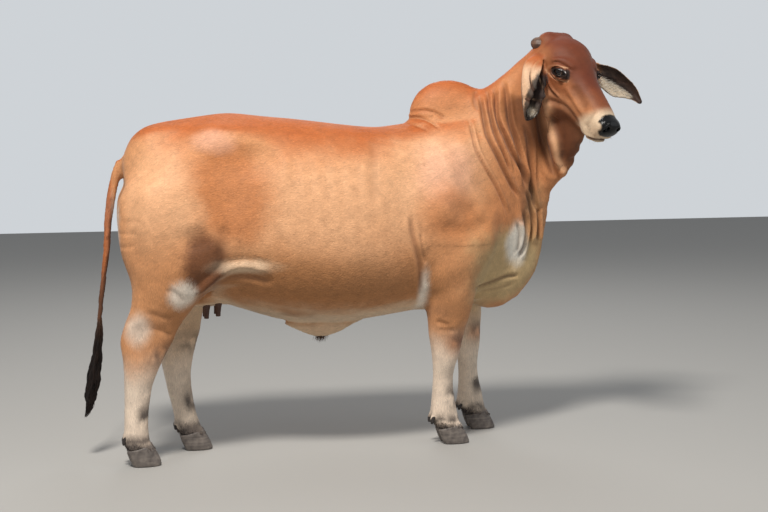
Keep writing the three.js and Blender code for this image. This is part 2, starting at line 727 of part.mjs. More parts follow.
// Head: eyes, lids, nostrils, mouth, ears and horn buds
// Each ear is a folded leaf: its fold and its two edges run from the root to the tip, in the head's frame.
const EARS = {
  left: {
    fold: [[75, -62, 85], [155, -57, 184], [201, -64, 264], [264, -76, 318], [318, -84, 339]],
    upper: [[60, -42, 90], [134, -23, 163], [180, -15, 244], [254, -40, 311], [316, -77, 343]],
    lower: [[95, -88, 86], [216, -82, 159], [264, -91, 215], [288, -78, 285], [316, -88, 331]],
  },
  right: {
    fold: [[48, -62, -82], [82, -86, -170], [170, -151, -200], [249, -211, -196], [271, -230, -193]],
    upper: [[66, -36, -84], [148, -48, -145], [213, -101, -186], [255, -194, -203], [273, -231, -194]],
    lower: [[84, -84, -72], [148, -69, -121], [232, -125, -133], [274, -198, -165], [276, -231, -190]],
  },
};


// A point on a surface, found outwards from a start inside it
function pointOn(field, start, direction, reach = 300) {
  let [near, far] = [0, reach];
  for (let i = 0; i < 24; i++) {
    const middle = (near + far) / 2;
    if (field(add(start, scale(direction, middle))) < 0) near = middle;
    else far = middle;
  }
  return add(start, scale(direction, near));
}

// A curve through points in the head's frame, in world space
function headCurve(points) {
  return new THREE.CatmullRomCurve3(points.map((p) => new THREE.Vector3(...toWorld(HEAD, ...p))));
}

function headDirection(along, up, side) {
  return unit(sub(toWorld(HEAD, along, up, side), HEAD.origin));
}

function eyePlace(flank) {
  const out = headDirection(0.1, 0.12, flank);
  const surface = pointOn(headShape, toWorld(HEAD, EYE.along, EYE.up, 0), out);
  return { centre: sub(surface, scale(out, EYE.sunk)), out };
}

function ballSolid(centre, radius, round = 12, tall = 8) {
  const geometry = new THREE.SphereGeometry(radius, round, tall);
  geometry.translate(...centre);
  return solidOf(geometry);
}

// Upper and lower lids: two tapering rims that meet at the corners of the eye
function lidSolids(flank) {
  const { centre, out } = eyePlace(flank);
  const along = unit(sub(HEAD.axis, scale(out, dot(HEAD.axis, out))));
  const up = scale(cross(out, along), Math.sign(dot(cross(out, along), HEAD.up)));
  return [1, -1].map((half) => limb(
    Array.from({ length: 7 }, (_, i) => {
      const angle = (Math.PI * i) / 6;
      const rise = Math.sin(angle) * (half > 0 ? 15 : 12);
      const over = EYE.radius * (0.52 + 0.34 * Math.sin(angle));
      const ahead = scale(along, -33 * Math.cos(angle));
      const place = add(centre, add(ahead, add(scale(up, half * rise), scale(out, over))));
      const thick = 5 + 4 * Math.sin(angle);
      return [place, thick, thick * 1.25];
    }),
    up,
    6,
  ));
}

// An ear's skin bows through its two edges and its fold. Each ring runs up inside and down outside.
function earSolid(side, grow = 0) {
  const [fold, upper, lower] = ["fold", "upper", "lower"].map((edge) => headCurve(EARS[side][edge]));
  const thickness = between([[0, 12], [0.3, 9], [0.7, 7], [1, 5]]);
  const steps = [0, 0.1, 0.2, 0.3, 0.42, 0.54, 0.66, 0.78, 0.88, 0.95, 1];
  const rings = steps.map((t) => {
    const [k, a, b] = [fold, upper, lower].map((curve) => curve.getPoint(t).toArray());
    const along = fold.getTangent(t).toArray();
    const start = t === 0 ? scale(along, -3 * grow) : [0, 0, 0];
    const chord = scale(sub(b, a), 0.5);
    const bow = sub(scale(add(a, b), 0.5), k);
    const reach = 1 + grow / Math.hypot(...chord);
    const turn = Math.sign(dot(cross(chord, along), bow)) || 1;
    const at = (v, skin) => {
      const out = scale(unit(cross(add(chord, scale(bow, 2 * v)), along)), -turn);
      const place = add(k, add(scale(chord, v), scale(bow, v * v)));
      return add(add(place, start), scale(out, skin));
    };
    const [, thick] = thickness(t);
    const across = [-1, -0.66, -0.33, 0, 0.33, 0.66, 1].map((v) => v * reach);
    const inner = across.map((v) => at(v, -2.4 * grow));
    const outer = across.map((v) => at(v * 0.985, thick * (1.1 - 0.4 * v * v) + grow)).reverse();
    return [...inner, ...outer];
  });
  return ringSolid(rings);
}

// A blunt horn bud that lies back along the side of the poll
function hornSolid(flank, grow = 0) {
  const points = [[24, -34, 56], [11, -38, 73], [-2, -42, 84], [-12, -46, 90], [-19, -49, 92]];
  const radii = [27, 28, 26, 19, 8];
  return limb(points.map(([a, u, c], i) =>
    [toWorld(HEAD, a, u, c * flank), radii[i] + grow, radii[i] * 0.85 + grow]), HEAD.axis, 9, grow);
}

function buildHead() {
  let head = netSolid(bodyAndHead, [890, -660, 1240], [1330, 60, 1790], [25, 25, 25]).intersect(headRoom());
  for (const [side, flank] of SIDES) {
    const { centre } = eyePlace(flank);
    for (const lid of lidSolids(flank)) head = head.add(lid);
    head = head.subtract(ballSolid(centre, EYE.radius + 2 * GAP));
    head = head.subtract(earSolid(side, 3.5 * GAP)).subtract(hornSolid(flank, 2 * GAP));
    const nostril = [[496, -36, 15], [508, -46, 26], [504, -60, 38], [490, -66, 48]];
    head = head.subtract(limb(nostril.map(([a, u, c], i) =>
      [toWorld(HEAD, a, u, c * flank), [5, 10, 9, 3][i], [6, 14, 12, 3][i]]), HEAD.up, 8));
  }
  const lips = [-1, -0.8, -0.55, -0.25, 0, 0.25, 0.55, 0.8, 1].map((v) => {
    const inside = toWorld(HEAD, 396 + 62 * (1 - v * v), -108 + 18 * v * v, 0);
    const out = headDirection(Math.cos(v * 1.7), -0.1, Math.sin(v * 1.7));
    return [pointOn(headShape, inside, out), 2.5, 9];
  });
  head = head.subtract(limb(lips, HEAD.up, 4));
  place("head", head, COLOURS.headCoat);
  for (const [side, flank] of SIDES) {
    place("eye_" + side, ballSolid(eyePlace(flank).centre, EYE.radius), COLOURS.eye, 0.15);
    place("ear_" + side, earSolid(side), COLOURS.coat);
    place("horn_bud_" + side, hornSolid(flank), COLOURS.horn, 0.6);
  }
}

// Legs and hooves
function coronetRoom(stations, grow = 0) {
  const [, y, back, front] = stations[0];
  return cutBox(tipped([(back + front) / 2, y, CORONET.height], 90 + CORONET.slope), 1400, 700, 200, grow);
}

// A claw's ring at a height: a blunt toe in front, a straight inner wall and a rounded heel
function clawRing(y, flank, z, back, front, half) {
  const n = 10;
  return Array.from({ length: n }, (_, i) => {
    const angle = (2 * Math.PI * i) / n;
    const [c, s] = [Math.cos(angle), Math.sin(angle)];
    const x = mix(back, front, 0.5 + 0.5 * Math.sign(c) * Math.abs(c) ** 0.85);
    const toe = Math.max(0, c);
    const outer = s * flank > 0 ? 1 - 0.3 * toe ** 3 : 0.8;
    return [x, y + half * outer * Math.sign(s) * Math.abs(s) ** 0.8 - flank * toe ** 2 * 4, z];
  });
}

function clawSolid(stations, flank) {
  const [, y, back, front] = stations[0];
  const middle = (back + front) / 2;
  const place = y + flank * CLAW.apart;
  const half = CLAW.width / 2;
  return ringSolid([
    clawRing(place, flank, 0, middle - 20, middle + 92, half * 0.97),
    clawRing(place, flank, 9, middle - 25, middle + 94, half * 1.02),
    clawRing(place, flank, 34, middle - 36, middle + 84, half),
    clawRing(place, flank, 62, middle - 46, middle + 68, half * 0.95),
    clawRing(place, flank, 100, middle - 50, middle + 52, half * 0.9),
  ]);
}

function buildLegs() {
  for (const [name, { stations, cut }] of Object.entries(LEGS)) {
    const room = ROOMS[name]();
    const top = name.startsWith("fore") ? ELBOW_CUT : 800;
    const used = stations.filter(([z]) => z < top + 60);
    const inner = name.startsWith("fore") ? INNER_FACE.fore - 60 : -40;
    const left = name.endsWith("left");
    const low = [Math.min(...used.map((s) => s[2])) - 60, left ? inner : -380, 20];
    const high = [Math.max(...used.map((s) => s[3])) + 80, left ? 380 : -inner, top + 70];
    const leg = netSolid(wholeShape, low, high, [33, 31, 54]).intersect(room);
    const above = boxSolid([-2000, -900, cut + GAP], [2000, 900, 2000]);
    const below = boxSolid([-2000, -900, -50], [2000, 900, cut]);
    const dewclaws = [-1, 1].map((flank) => dewclawSolid(stations, flank));
    const lower = join([leg.intersect(below), ...dewclaws]).intersect(coronetRoom(stations));
    place(name + "_upper", leg.intersect(above), COLOURS.coat);
    place(name + "_lower", lower, COLOURS.cream);
    for (const [side, flank] of SIDES) {
      const claw = clawSolid(stations, flank).subtract(coronetRoom(stations, GAP));
      place("hoof_" + name + "_" + side, claw, COLOURS.hoof, 0.6);
    }
  }
}

function dewclawSolid(stations, flank) {
  const [z, y, back] = stations[1];
  return limb([
    [[back + 30, y + flank * 19, z + 16], 13, 15],
    [[back + 8, y + flank * 21, z + 6], 12, 14],
    [[back - 4, y + flank * 22, z - 10], 10, 10],
    [[back - 3, y + flank * 22, z - 24], 6, 6],
  ], Y, 8);
}

// Tail: two lengths of the bony tail, and the switch of long hair below it
const TAIL_HALVED = 7; // the point where the free tail is parted
const SWITCH = {
  spine: [
    [-799, 0, 590], [-803, 0, 530], [-811, 0, 460], [-822, 0, 390], [-834, 0, 320],
    [-845, 0, 262], [-850, 0, 215], [-866, 0, 170],
  ],
  spread: [[0, 8], [0.2, 16], [0.42, 25], [0.62, 29], [0.8, 21], [1, 7]],
  core: 0.5, // the core ends half way down
};
const LOCK = { width: 27, thickness: 11, rings: 5 };
const LOCK_ROWS = [
  { count: 4, from: 0.06, to: 0.72 },
  { count: 4, from: 0.24, to: 0.9 },
  { count: 4, from: 0.36, to: 1.02 },
];

const switchCurve = new THREE.CatmullRomCurve3(SWITCH.spine.map((p) => new THREE.Vector3(...p)));
const switchAt = (t) => {
  const k = Math.min(t, 1);
  const over = scale(switchCurve.getTangent(k).toArray(), (t - k) * 440);
  return add(switchCurve.getPoint(k).toArray(), over);
};
const spreadAt = between(SWITCH.spread);

function switchCore() {
  const steps = [0, 0.16, 0.34, SWITCH.core];
  return limb(steps.map((t, i) => {
    const radius = spreadAt(t)[1] * (i === steps.length - 1 ? 0.3 : 0.72);
    return [switchAt(t), Math.max(radius, 8), Math.max(radius, 8)];
  }), Y, 6);
}

// One ring of flat locks: each starts inside the core, lies along it, bends and ends free
function lockRow({ count, from, to }, level) {
  return Array.from({ length: count }, (_, i) => {
    const vary = Math.sin(12.9 * (i + 1) + 7.3 * level);
    const around = (2 * Math.PI * (i + 0.5 * (level % 2))) / count + 0.25 * vary;
    const end = to - 0.05 * Math.abs(vary);
    const rings = Array.from({ length: LOCK.rings }, (_, k) => {
      const u = k / (LOCK.rings - 1);
      const t = mix(from, end, u);
      const angle = around + 0.55 * Math.sin(2.6 * u + 3 * vary);
      const out = [Math.cos(angle), Math.sin(angle), 0];
      const reach = spreadAt(Math.min(t, 1))[1] * mix(0.2, 1, Math.min(1, 2.4 * u)) + 6 * vary * u * u;
      const flat = cross([0, 0, 1], out);
      const middle = add(switchAt(t), scale(out, reach));
      const wide = LOCK.width * (1 - 0.86 * u ** 2.2) * (k === 0 ? 0.6 : 1);
      const thick = LOCK.thickness * (1 - 0.72 * u ** 2);
      return [[1, 0], [0, 1], [-1, 0], [0, -1]].map(([a, b]) =>
        add(middle, add(scale(flat, (wide * a) / 2 * 1.3), scale(out, (thick * b) / 2 * 1.3))));
    });
    return ringSolid(rings);
  });
}

function buildTail() {
  const cord = limb(TAIL.map(([p, r]) => [p, r, r * 1.1]), Y, 10);
  const from = ([p, r], reach, grow = 0) => cutBox(frame(p, [0, 0, -1], X, Y), reach, 200, 200, grow);
  const [half, end] = [TAIL[TAIL_HALVED], TAIL[TAIL.length - 1]];
  const root = tailRoom().add(from([[-740, 0, 1130], 0], 1130 - half[0][2]));
  const free = cord.subtract(from([add(end[0], [0, 0, 20]), 0], 400, GAP));
  place("tail_upper", free.intersect(root).subtract(from(half, 900, GAP)), COLOURS.coat);
  place("tail_lower", free.intersect(from(half, 900)), COLOURS.coat);
  const hair = join([switchCore(), ...LOCK_ROWS.flatMap((row, level) => lockRow(row, level))]);
  place("tail_switch", hair.intersect(from([add(end[0], [0, 0, 20]), 0], 900)), COLOURS.switchHair);
}

buildTorso();
buildHump();
buildNeck();
buildFlap();
buildUdder();
buildHead();
buildLegs();
buildTail();

// The origin moves to the middle of the bounding box, on the floor
const bounds = new THREE.Box3().setFromObject(cow);
const middle = bounds.getCenter(new THREE.Vector3());
for (const mesh of cow.children) mesh.geometry.translate(-middle.x, -middle.y, -bounds.min.z);

export default cow;
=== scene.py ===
import math
import bmesh
import bpy
import numpy as np
from mathutils import Matrix, Vector
from mathutils.bvhtree import BVHTree
from mathutils.kdtree import KDTree


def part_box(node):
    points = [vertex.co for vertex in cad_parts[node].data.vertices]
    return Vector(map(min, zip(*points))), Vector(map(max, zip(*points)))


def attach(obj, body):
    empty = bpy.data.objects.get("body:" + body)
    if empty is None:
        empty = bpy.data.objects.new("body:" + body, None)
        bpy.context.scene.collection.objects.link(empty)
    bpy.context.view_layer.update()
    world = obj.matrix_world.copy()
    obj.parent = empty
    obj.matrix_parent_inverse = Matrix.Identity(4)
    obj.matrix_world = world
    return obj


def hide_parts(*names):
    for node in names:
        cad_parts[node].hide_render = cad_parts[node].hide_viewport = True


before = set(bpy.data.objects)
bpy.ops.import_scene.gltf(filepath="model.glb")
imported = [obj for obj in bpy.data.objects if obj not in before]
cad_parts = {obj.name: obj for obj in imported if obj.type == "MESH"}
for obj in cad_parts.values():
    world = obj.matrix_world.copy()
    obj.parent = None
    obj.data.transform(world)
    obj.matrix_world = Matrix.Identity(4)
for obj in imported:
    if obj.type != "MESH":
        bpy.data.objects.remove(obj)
bpy.ops.object.select_all(action="DESELECT")
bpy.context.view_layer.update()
rng = np.random.default_rng(41)

# Measured places are in the design's own frame: metres, the animal facing +X, soles at z = 0.
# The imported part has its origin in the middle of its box, so the corner of a hoof gives the shift.
hoofCorner = np.array(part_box("hoof_hindleg_right_right")[0])
shift = (hoofCorner - [-0.71311, -0.21198, 0]) * [1, 1, 0]


def boxMiddle(node):
    low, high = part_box(node)
    return (np.array(low) + np.array(high)) / 2


def unit(v):
    v = np.asarray(v, float)
    return v / np.maximum(np.linalg.norm(v, axis=-1, keepdims=True), 1e-12)


def smooth(t):
    t = np.clip(t, 0.0, 1.0)
    return t * t * (3 - 2 * t)


# The head's frame, turned to the animal's right and hanging from the poll
headAxis = np.array([0.26489, -0.65562, -0.70711])
headUp = np.array([0.26489, -0.65562, 0.70711])
headSide = np.array([0.92718, 0.37461, 0.0])
headOrigin = np.array([1.106, -0.130, 1.709]) + shift


def headPoint(along, up, side):
    return headOrigin + along * headAxis + up * headUp + side * headSide


def toHead(points):
    d = points - headOrigin
    return np.stack([d @ headAxis, d @ headUp, d @ headSide], 1)


# Smooth seeded variation in space, between about -1 and 1
def wobble(points, size, seed):
    draw = np.random.default_rng(seed)
    total = np.zeros(len(points))
    for _ in range(9):
        direction = unit(draw.normal(size=3)) * (2 * math.pi / size) * draw.uniform(0.6, 1.7)
        total += np.sin(points @ direction + draw.uniform(0, 6.28))
    return total / 4.2


def spline(points, steps=8):
    p = np.asarray(points, float)
    p = np.vstack([2 * p[0] - p[1], p, 2 * p[-1] - p[-2]])
    out = []
    for i in range(1, len(p) - 2):
        for t in np.linspace(0, 1, steps, endpoint=False):
            a, b, c, d = p[i - 1], p[i], p[i + 1], p[i + 2]
            out.append(0.5 * (2 * b + (c - a) * t + (2 * a - 5 * b + 4 * c - d) * t ** 2
                              + (3 * b - a - 3 * c + d) * t ** 3))
    out.append(p[-2])
    return np.array(out)


# Distance from each point to a line of points, and how far along the line the nearest place is
def lineDistance(points, line):
    best = np.full(len(points), 1e9)
    place = np.zeros(len(points))
    lengths = np.linalg.norm(np.diff(line, axis=0), axis=1)
    ends = np.concatenate([[0], np.cumsum(lengths)])
    for i in range(len(line) - 1):
        a, ab = line[i], line[i + 1] - line[i]
        t = np.clip(((points - a) @ ab) / max(ab @ ab, 1e-12), 0, 1)
        d = np.linalg.norm(points - a - t[:, None] * ab, axis=1)
        near = d < best
        best[near] = d[near]
        place[near] = (ends[i] + t[near] * lengths[i]) / ends[-1]
    return best, place


# MESH TOOLS

def meshArrays(o):
    m = o.data
    co = np.empty(len(m.vertices) * 3, np.float32)
    m.vertices.foreach_get("co", co)
    m.calc_loop_triangles()
    tris = np.empty(len(m.loop_triangles) * 3, np.int32)
    m.loop_triangles.foreach_get("vertices", tris)
    return co.reshape(-1, 3).astype(float), tris.reshape(-1, 3)


def smoothFaces(mesh):
    mesh.polygons.foreach_set("use_smooth", np.ones(len(mesh.polygons), bool))


def makeObject(name, co, faces):
    m = bpy.data.meshes.new(name)
    co = np.asarray(co, np.float32)
    faces = np.asarray(faces, np.int32)
    m.vertices.add(len(co))
    m.vertices.foreach_set("co", co.ravel())
    sides = faces.shape[1]
    m.loops.add(faces.size)
    m.loops.foreach_set("vertex_index", faces.ravel())
    m.polygons.add(len(faces))
    m.polygons.foreach_set("loop_start", np.arange(0, faces.size, sides, dtype=np.int32))
    m.update(calc_edges=True)
    m.validate()
    smoothFaces(m)
    o = bpy.data.objects.new(name, m)
    bpy.context.scene.collection.objects.link(o)
    return o


def setPlaces(o, co):
    o.data.vertices.foreach_set("co", np.asarray(co, np.float32).ravel())
    o.data.update()


def merged(co, tris):
    key = np.round(co / 2e-5).astype(np.int64)
    _, first, back = np.unique(key, axis=0, return_index=True, return_inverse=True)
    tris = back.ravel()[tris]
    good = (tris[:, 0] != tris[:, 1]) & (tris[:, 1] != tris[:, 2]) & (tris[:, 0] != tris[:, 2])
    return co[first], tris[good]


def vertexNormals(co, tris):
    n = np.cross(co[tris[:, 1]] - co[tris[:, 0]], co[tris[:, 2]] - co[tris[:, 0]])
    out = np.zeros_like(co)
    for k in range(3):
        for c in range(3):
            out[:, c] += np.bincount(tris[:, k], weights=n[:, c], minlength=len(co))
    return unit(out)


def edgesOf(o):
    e = np.empty(len(o.data.edges) * 2, np.int32)
    o.data.edges.foreach_get("vertices", e)
    return e.reshape(-1, 2)


def relax(co, edges, rounds):
    n = len(co)
    degree = np.maximum(np.bincount(edges.ravel(), minlength=n), 1)
    for k in range(int(math.ceil(rounds.max()))):
        step = 0.5 * np.clip(rounds - k, 0, 1)
        mean = np.empty_like(co)
        for c in range(3):
            mean[:, c] = (np.bincount(edges[:, 0], weights=co[edges[:, 1], c], minlength=n)
                          + np.bincount(edges[:, 1], weights=co[edges[:, 0], c], minlength=n)) / degree
        co = co + step[:, None] * (mean - co)
    return co


def grownNode(name, grow):
    co, tris = merged(*meshArrays(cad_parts[name]))
    return co + grow * vertexNormals(co, tris), tris


def joinArrays(parts):
    cos, tris, base = [], [], 0
    for co, t in parts:
        cos.append(co)
        tris.append(t + base)
        base += len(co)
    return np.vstack(cos), np.vstack(tris)


# The triangles between rings of points, each ring after the one before it
def ringFaces(count, sides):
    a = np.arange(sides)
    b = np.roll(a, -1)
    row = np.stack([a, b, b + sides, a, b + sides, a + sides], 1).reshape(-1, 3)
    return np.concatenate([row + r * sides for r in range(count - 1)])


# Rings closed by a point at each end
def closedRings(rings, ends):
    count, sides = rings.shape[:2]
    a = np.arange(sides)
    b = np.roll(a, -1)
    last = (count - 1) * sides
    tip = np.full(sides, last + sides)
    caps = np.stack([b, a, tip, last + a, last + b, tip + 1], 1).reshape(-1, 3)
    return np.vstack([rings.reshape(-1, 3), ends]), np.concatenate([ringFaces(count, sides), caps])


def tubeArrays(centres, radii, sides=12):
    centres = np.asarray(centres, float)
    along = unit(np.gradient(centres, axis=0))
    side = unit(np.cross(along, [0.02, 1.0, 0.03]))
    out = np.cross(along, side)
    angle = np.linspace(0, 2 * math.pi, sides, endpoint=False)
    ring = np.cos(angle)[None, :, None] * side[:, None] + np.sin(angle)[None, :, None] * out[:, None]
    return closedRings(centres[:, None] + ring * np.asarray(radii)[:, None, None], centres[[0, -1]])


# Runs actions with this object alone active and selected
def withActive(o, *actions):
    bpy.context.view_layer.objects.active = o
    o.select_set(True)
    for action, settings in actions:
        action(**settings)
    o.select_set(False)


def applyModifier(o, kind, **settings):
    mod = o.modifiers.new("shape", kind)
    for key, value in settings.items():
        setattr(mod, key, value)
    withActive(o, (bpy.ops.object.modifier_apply, {"modifier": mod.name}))


def inEditMode(o, *actions):
    mode = bpy.ops.object.mode_set
    withActive(o, (mode, {"mode": "EDIT"}), *actions, (mode, {"mode": "OBJECT"}))


def remeshed(name, co, tris, voxel):
    o = makeObject(name, co, tris)
    applyModifier(o, "REMESH", mode="VOXEL", voxel_size=voxel, use_smooth_shade=True)
    return o


# Keeps the largest body of a mesh and deletes every loose scrap
def dropScraps(o):
    n = len(o.data.vertices)
    edges = edgesOf(o)
    label = np.arange(n)
    while True:
        low = np.minimum(label[edges[:, 0]], label[edges[:, 1]])
        new = label.copy()
        np.minimum.at(new, edges[:, 0], low)
        np.minimum.at(new, edges[:, 1], low)
        new = new[new]
        if (new == label).all():
            break
        label = new
    keep = label == np.bincount(label).argmax()
    if not keep.all():
        o.data.vertices.foreach_set("select", ~keep)
        inEditMode(o, (bpy.ops.mesh.select_mode, {"type": "VERT"}), (bpy.ops.mesh.delete, {"type": "VERT"}))


# EARS: each is a folded leaf, whose fold and two edges run from the root to the tip in the head's frame

earCurves = {
    1: {"fold": [[.075, -.062, .085], [.155, -.057, .184], [.201, -.064, .264], [.264, -.076, .318],
                 [.318, -.084, .339]],
        "upper": [[.060, -.042, .090], [.134, -.023, .163], [.180, -.015, .244], [.254, -.040, .311],
                  [.316, -.077, .343]],
        "lower": [[.095, -.088, .086], [.216, -.082, .159], [.264, -.091, .215], [.288, -.078, .285],
                  [.316, -.088, .331]]},
    -1: {"fold": [[.048, -.062, -.082], [.082, -.086, -.170], [.170, -.151, -.200], [.249, -.211, -.196],
                  [.271, -.230, -.193]],
         "upper": [[.066, -.036, -.084], [.148, -.048, -.145], [.213, -.101, -.186], [.255, -.194, -.203],
                   [.273, -.231, -.194]],
         "lower": [[.084, -.084, -.072], [.148, -.069, -.121], [.232, -.125, -.133], [.274, -.198, -.165],
                   [.276, -.231, -.190]]},
}
# Thickness along the finished ear, and the even thickness that it has while the skin is joined
earThickness = {"at": [0, .3, .7, 1], "size": [.012, .0095, .0080, .0055], "joined": .0125}


# The ear's inner face as a grid, from root to tip and from its upper to its lower edge
def earSheet(side):
    fold, upper, lower = (spline([headPoint(*p) for p in earCurves[side][k]], 22)
                          for k in ("fold", "upper", "lower"))
    v = np.linspace(-1, 1, 41)
    chord, bow = (lower - upper) / 2, (upper + lower) / 2 - fold
    wave = 0.0018 * np.sin(np.linspace(0, 19, len(fold)))[:, None] * np.abs(v) ** 3
    sheet = fold[:, None] + chord[:, None] * v[None, :, None] + bow[:, None] * (v * v)[None, :, None]
    along = np.gradient(sheet, axis=0)
    across = np.gradient(sheet, axis=1)
    out = unit(np.cross(across, along))
    if (out[len(out) // 2, 20] * bow[len(bow) // 2]).sum() > 0:
        out = -out
    out[0], out[-1] = out[1], out[-2]
    sheet = sheet + out * wave[..., None]
    t = np.repeat(np.linspace(0, 1, len(fold))[:, None], len(v), 1)
    return {"sheet": sheet, "out": out, "t": t, "v": np.repeat(v[None], len(fold), 0), "along": unit(along)}


ears = {side: earSheet(side) for side in (1, -1)}
for ear in ears.values():
    ear["tree"] = KDTree(ear["sheet"].size // 3)
    for i, place in enumerate(ear["sheet"].reshape(-1, 3)):
        ear["tree"].insert(place, i)
    ear["tree"].balance()


# The ear as a shell of even thickness, closed all round
def earArrays(side):
    ear = ears[side]
    sheet, out = ear["sheet"][::3, ::4], ear["out"][::3, ::4]
    v = ear["v"][0, ::4]
    back = (sheet + out * (earThickness["joined"] * (1 - 0.25 * v * v))[None, :, None])[:, ::-1]
    rings = np.concatenate([sheet - out * 0.001, back], 1)
    co, faces = closedRings(rings, rings[[0, -1]].mean(1))
    volume = (co[faces[:, 0]] * np.cross(co[faces[:, 1]], co[faces[:, 2]])).sum()
    return co, faces if volume > 0 else faces[:, ::-1]


# How near to an ear's inner face a point has to be, to be painted, thinned or shaped as an ear
earReach = {"paint": 0.0155, "thin": 0.020, "shape": 0.021}


# Which points are on this ear, how far along and across it they are, how far they stand behind its
# inner face, and which way is out there
def earPlace(co, side, reach=earReach["paint"]):
    ear = ears[side]
    on, place, over, behind = np.zeros((4, len(co)))
    out = np.zeros_like(co)
    sheet, normal = ear["sheet"].reshape(-1, 3), ear["out"].reshape(-1, 3)
    middle = sheet.mean(0)
    close = np.where(np.linalg.norm(co - middle, axis=1) < 0.26)[0]
    if len(close):
        found = [ear["tree"].find(point) for point in co[close]]
        k, distance = np.array([f[1] for f in found]), np.array([f[2] for f in found])
        place[close], over[close] = ear["t"].ravel()[k], ear["v"].ravel()[k]
        behind[close] = ((co[close] - sheet[k]) * normal[k]).sum(1)
        out[close] = normal[k]
        on[close] = smooth((reach - distance) / 0.003) * (place[close] > 0.16)
    return on, place, over, behind, out


# THE SKIN'S BASE: the flesh nodes joined, in a space stretched about the head so that the head
# and the folded neck get the finest faces

legNames = ["foreleg_right", "foreleg_left", "hindleg_right", "hindleg_left"]
hoofNames = ["hoof_" + leg + side for leg in legNames for side in ("_left", "_right")]
fleshNames = ["torso", "hump", "neck", "dewlap", "navel_flap", "udder", "head", "tail_upper", "tail_lower"]
fleshNames += [leg + part for leg in legNames for part in ("_upper", "_lower")]

stretch = {"gain": 3.0, "near": 0.38, "far": 1.05, "voxel": 0.0104}
headMiddle = headPoint(0.25, -0.05, 0.0)


def headReach(co):
    return np.linalg.norm(co - headMiddle, axis=1)


reachTable = np.linspace(0, 4, 1601)
farShare = smooth((reachTable - stretch["near"]) / (stretch["far"] - stretch["near"]))
gainTable = 1 + (stretch["gain"] - 1) * (1 - farShare)
farTable = np.concatenate([[0], np.cumsum((gainTable[1:] + gainTable[:-1]) / 2 * np.diff(reachTable))])


def stretched(co, back=False):
    d = co - headMiddle
    r = np.linalg.norm(d, axis=1)
    new = np.interp(r, farTable, reachTable) if back else np.interp(r, reachTable, farTable)
    return headMiddle + d * (new / np.maximum(r, 1e-9))[:, None]


# The distance from a centre, where 1 is the surface of the ellipsoid with these radii
def ellipse(points, centre, radii):
    return np.sqrt((((points - centre) / radii) ** 2).sum(1))


# Neighbouring nodes grow by this much, so that they overlap and join
joinGrow = 0.0003

# The teats are pieces of their own, so here the udder's own are drawn up into it
teatAxes = [[-.325, -.040], [-.325, .040], [-.372, -.034], [-.372, .034]]
teat = {"radius": .017, "length": .043, "drawn": .056}
teatTips = []


def udderArrays():
    co, tris = grownNode("udder", joinGrow)
    for x, y in teatAxes:
        x, y = x + shift[0], y + shift[1]
        near = np.hypot(co[:, 0] - x, co[:, 1] - y) < teat["radius"]
        tip = co[near, 2].min()
        teatTips.append([x, y, tip])
        co[near & (co[:, 2] < tip + teat["length"]), 2] = tip + teat["drawn"]
    return co, tris


# The skin reaches down over the top of each claw, along a plane that is lower in front
cuff = {"back": .070, "front": .058, "grow": .0045}


def cuffArrays(node):
    co, tris = grownNode(node, cuff["grow"])
    x = (co[:, 0] - co[:, 0].min()) / np.ptp(co[:, 0])
    co[:, 2] = np.maximum(co[:, 2], cuff["back"] + (cuff["front"] - cuff["back"]) * x)
    return co, tris


# The tail's own end, which is hidden in the hair of the switch
tailEnd = {"line": [[-.800, 0, .600], [-.806, 0, .530], [-.814, 0, .450]], "radii": [.0115, .009, .005]}


def skinBase():
    parts = [grownNode(n, joinGrow) for n in fleshNames + ["eye_left", "eye_right"] if n != "udder"]
    parts.append(udderArrays())
    parts += [cuffArrays(node) for node in hoofNames]
    parts += [earArrays(side) for side in (1, -1)]
    parts.append(tubeArrays(tailEnd["line"] + shift, tailEnd["radii"]))
    co, tris = joinArrays(parts)
    o = remeshed("hide", stretched(co), tris, stretch["voxel"])
    dropScraps(o)
    setPlaces(o, stretched(meshArrays(o)[0], back=True))
    print("skin base", len(o.data.polygons), "faces")
    return o


# How many rounds of smoothing each place gets: many on the broad trunk, few on legs, face and ears
smoothing = {"trunk": 62.0, "leg": 13, "tail": 7, "hump": 30, "neck": 34, "head": 15, "flap": 10,
             "ear": 6.0}


def roundsAt(co):
    p = co - shift
    x, y, z = p.T
    shares = {
        "leg": smooth((0.74 - z) / 0.16),
        "tail": smooth((-0.685 - x) / 0.04) * smooth((0.06 - np.abs(y)) / 0.02),
        "hump": smooth((1.15 - ellipse(p, [0.66, 0, 1.45], [0.22, 0.16, 0.15])) / 0.3),
        "neck": smooth((x - 0.84) / 0.12),
        "head": smooth((0.36 - headReach(co)) / 0.08),
        "flap": smooth((0.50 - z) / 0.05) * smooth((0.35 - np.abs(x - 0.10)) / 0.1),
    }
    rounds = np.full(len(co), smoothing["trunk"])
    for name, share in shares.items():
        rounds = rounds * (1 - share) + smoothing[name] * share
    for side in (1, -1):
        rounds = np.where(earPlace(co, side, earReach["shape"])[0] > 0, smoothing["ear"], rounds)
    return rounds


# SCULPTING: lines pressed into the skin or raised from it. A body line is [x, z] and a head line is
# [along, up], seen from the side. Width and depth are in metres, and a negative depth makes a ridge.
# The shade is how strongly painted shade darkens the coat along a crease, and a full line keeps its depth
# on the head.

def fold(width, depth, line, shade=1, full=False, lip=0):
    return {"width": width, "depth": depth, "line": line, "shade": shade, "full": full, "lip": lip}


# A pleat of the neck is a deeper fold, whose front side rises in a lip
def pleat(width, depth, line):
    return fold(width, depth, line, lip=0.85)


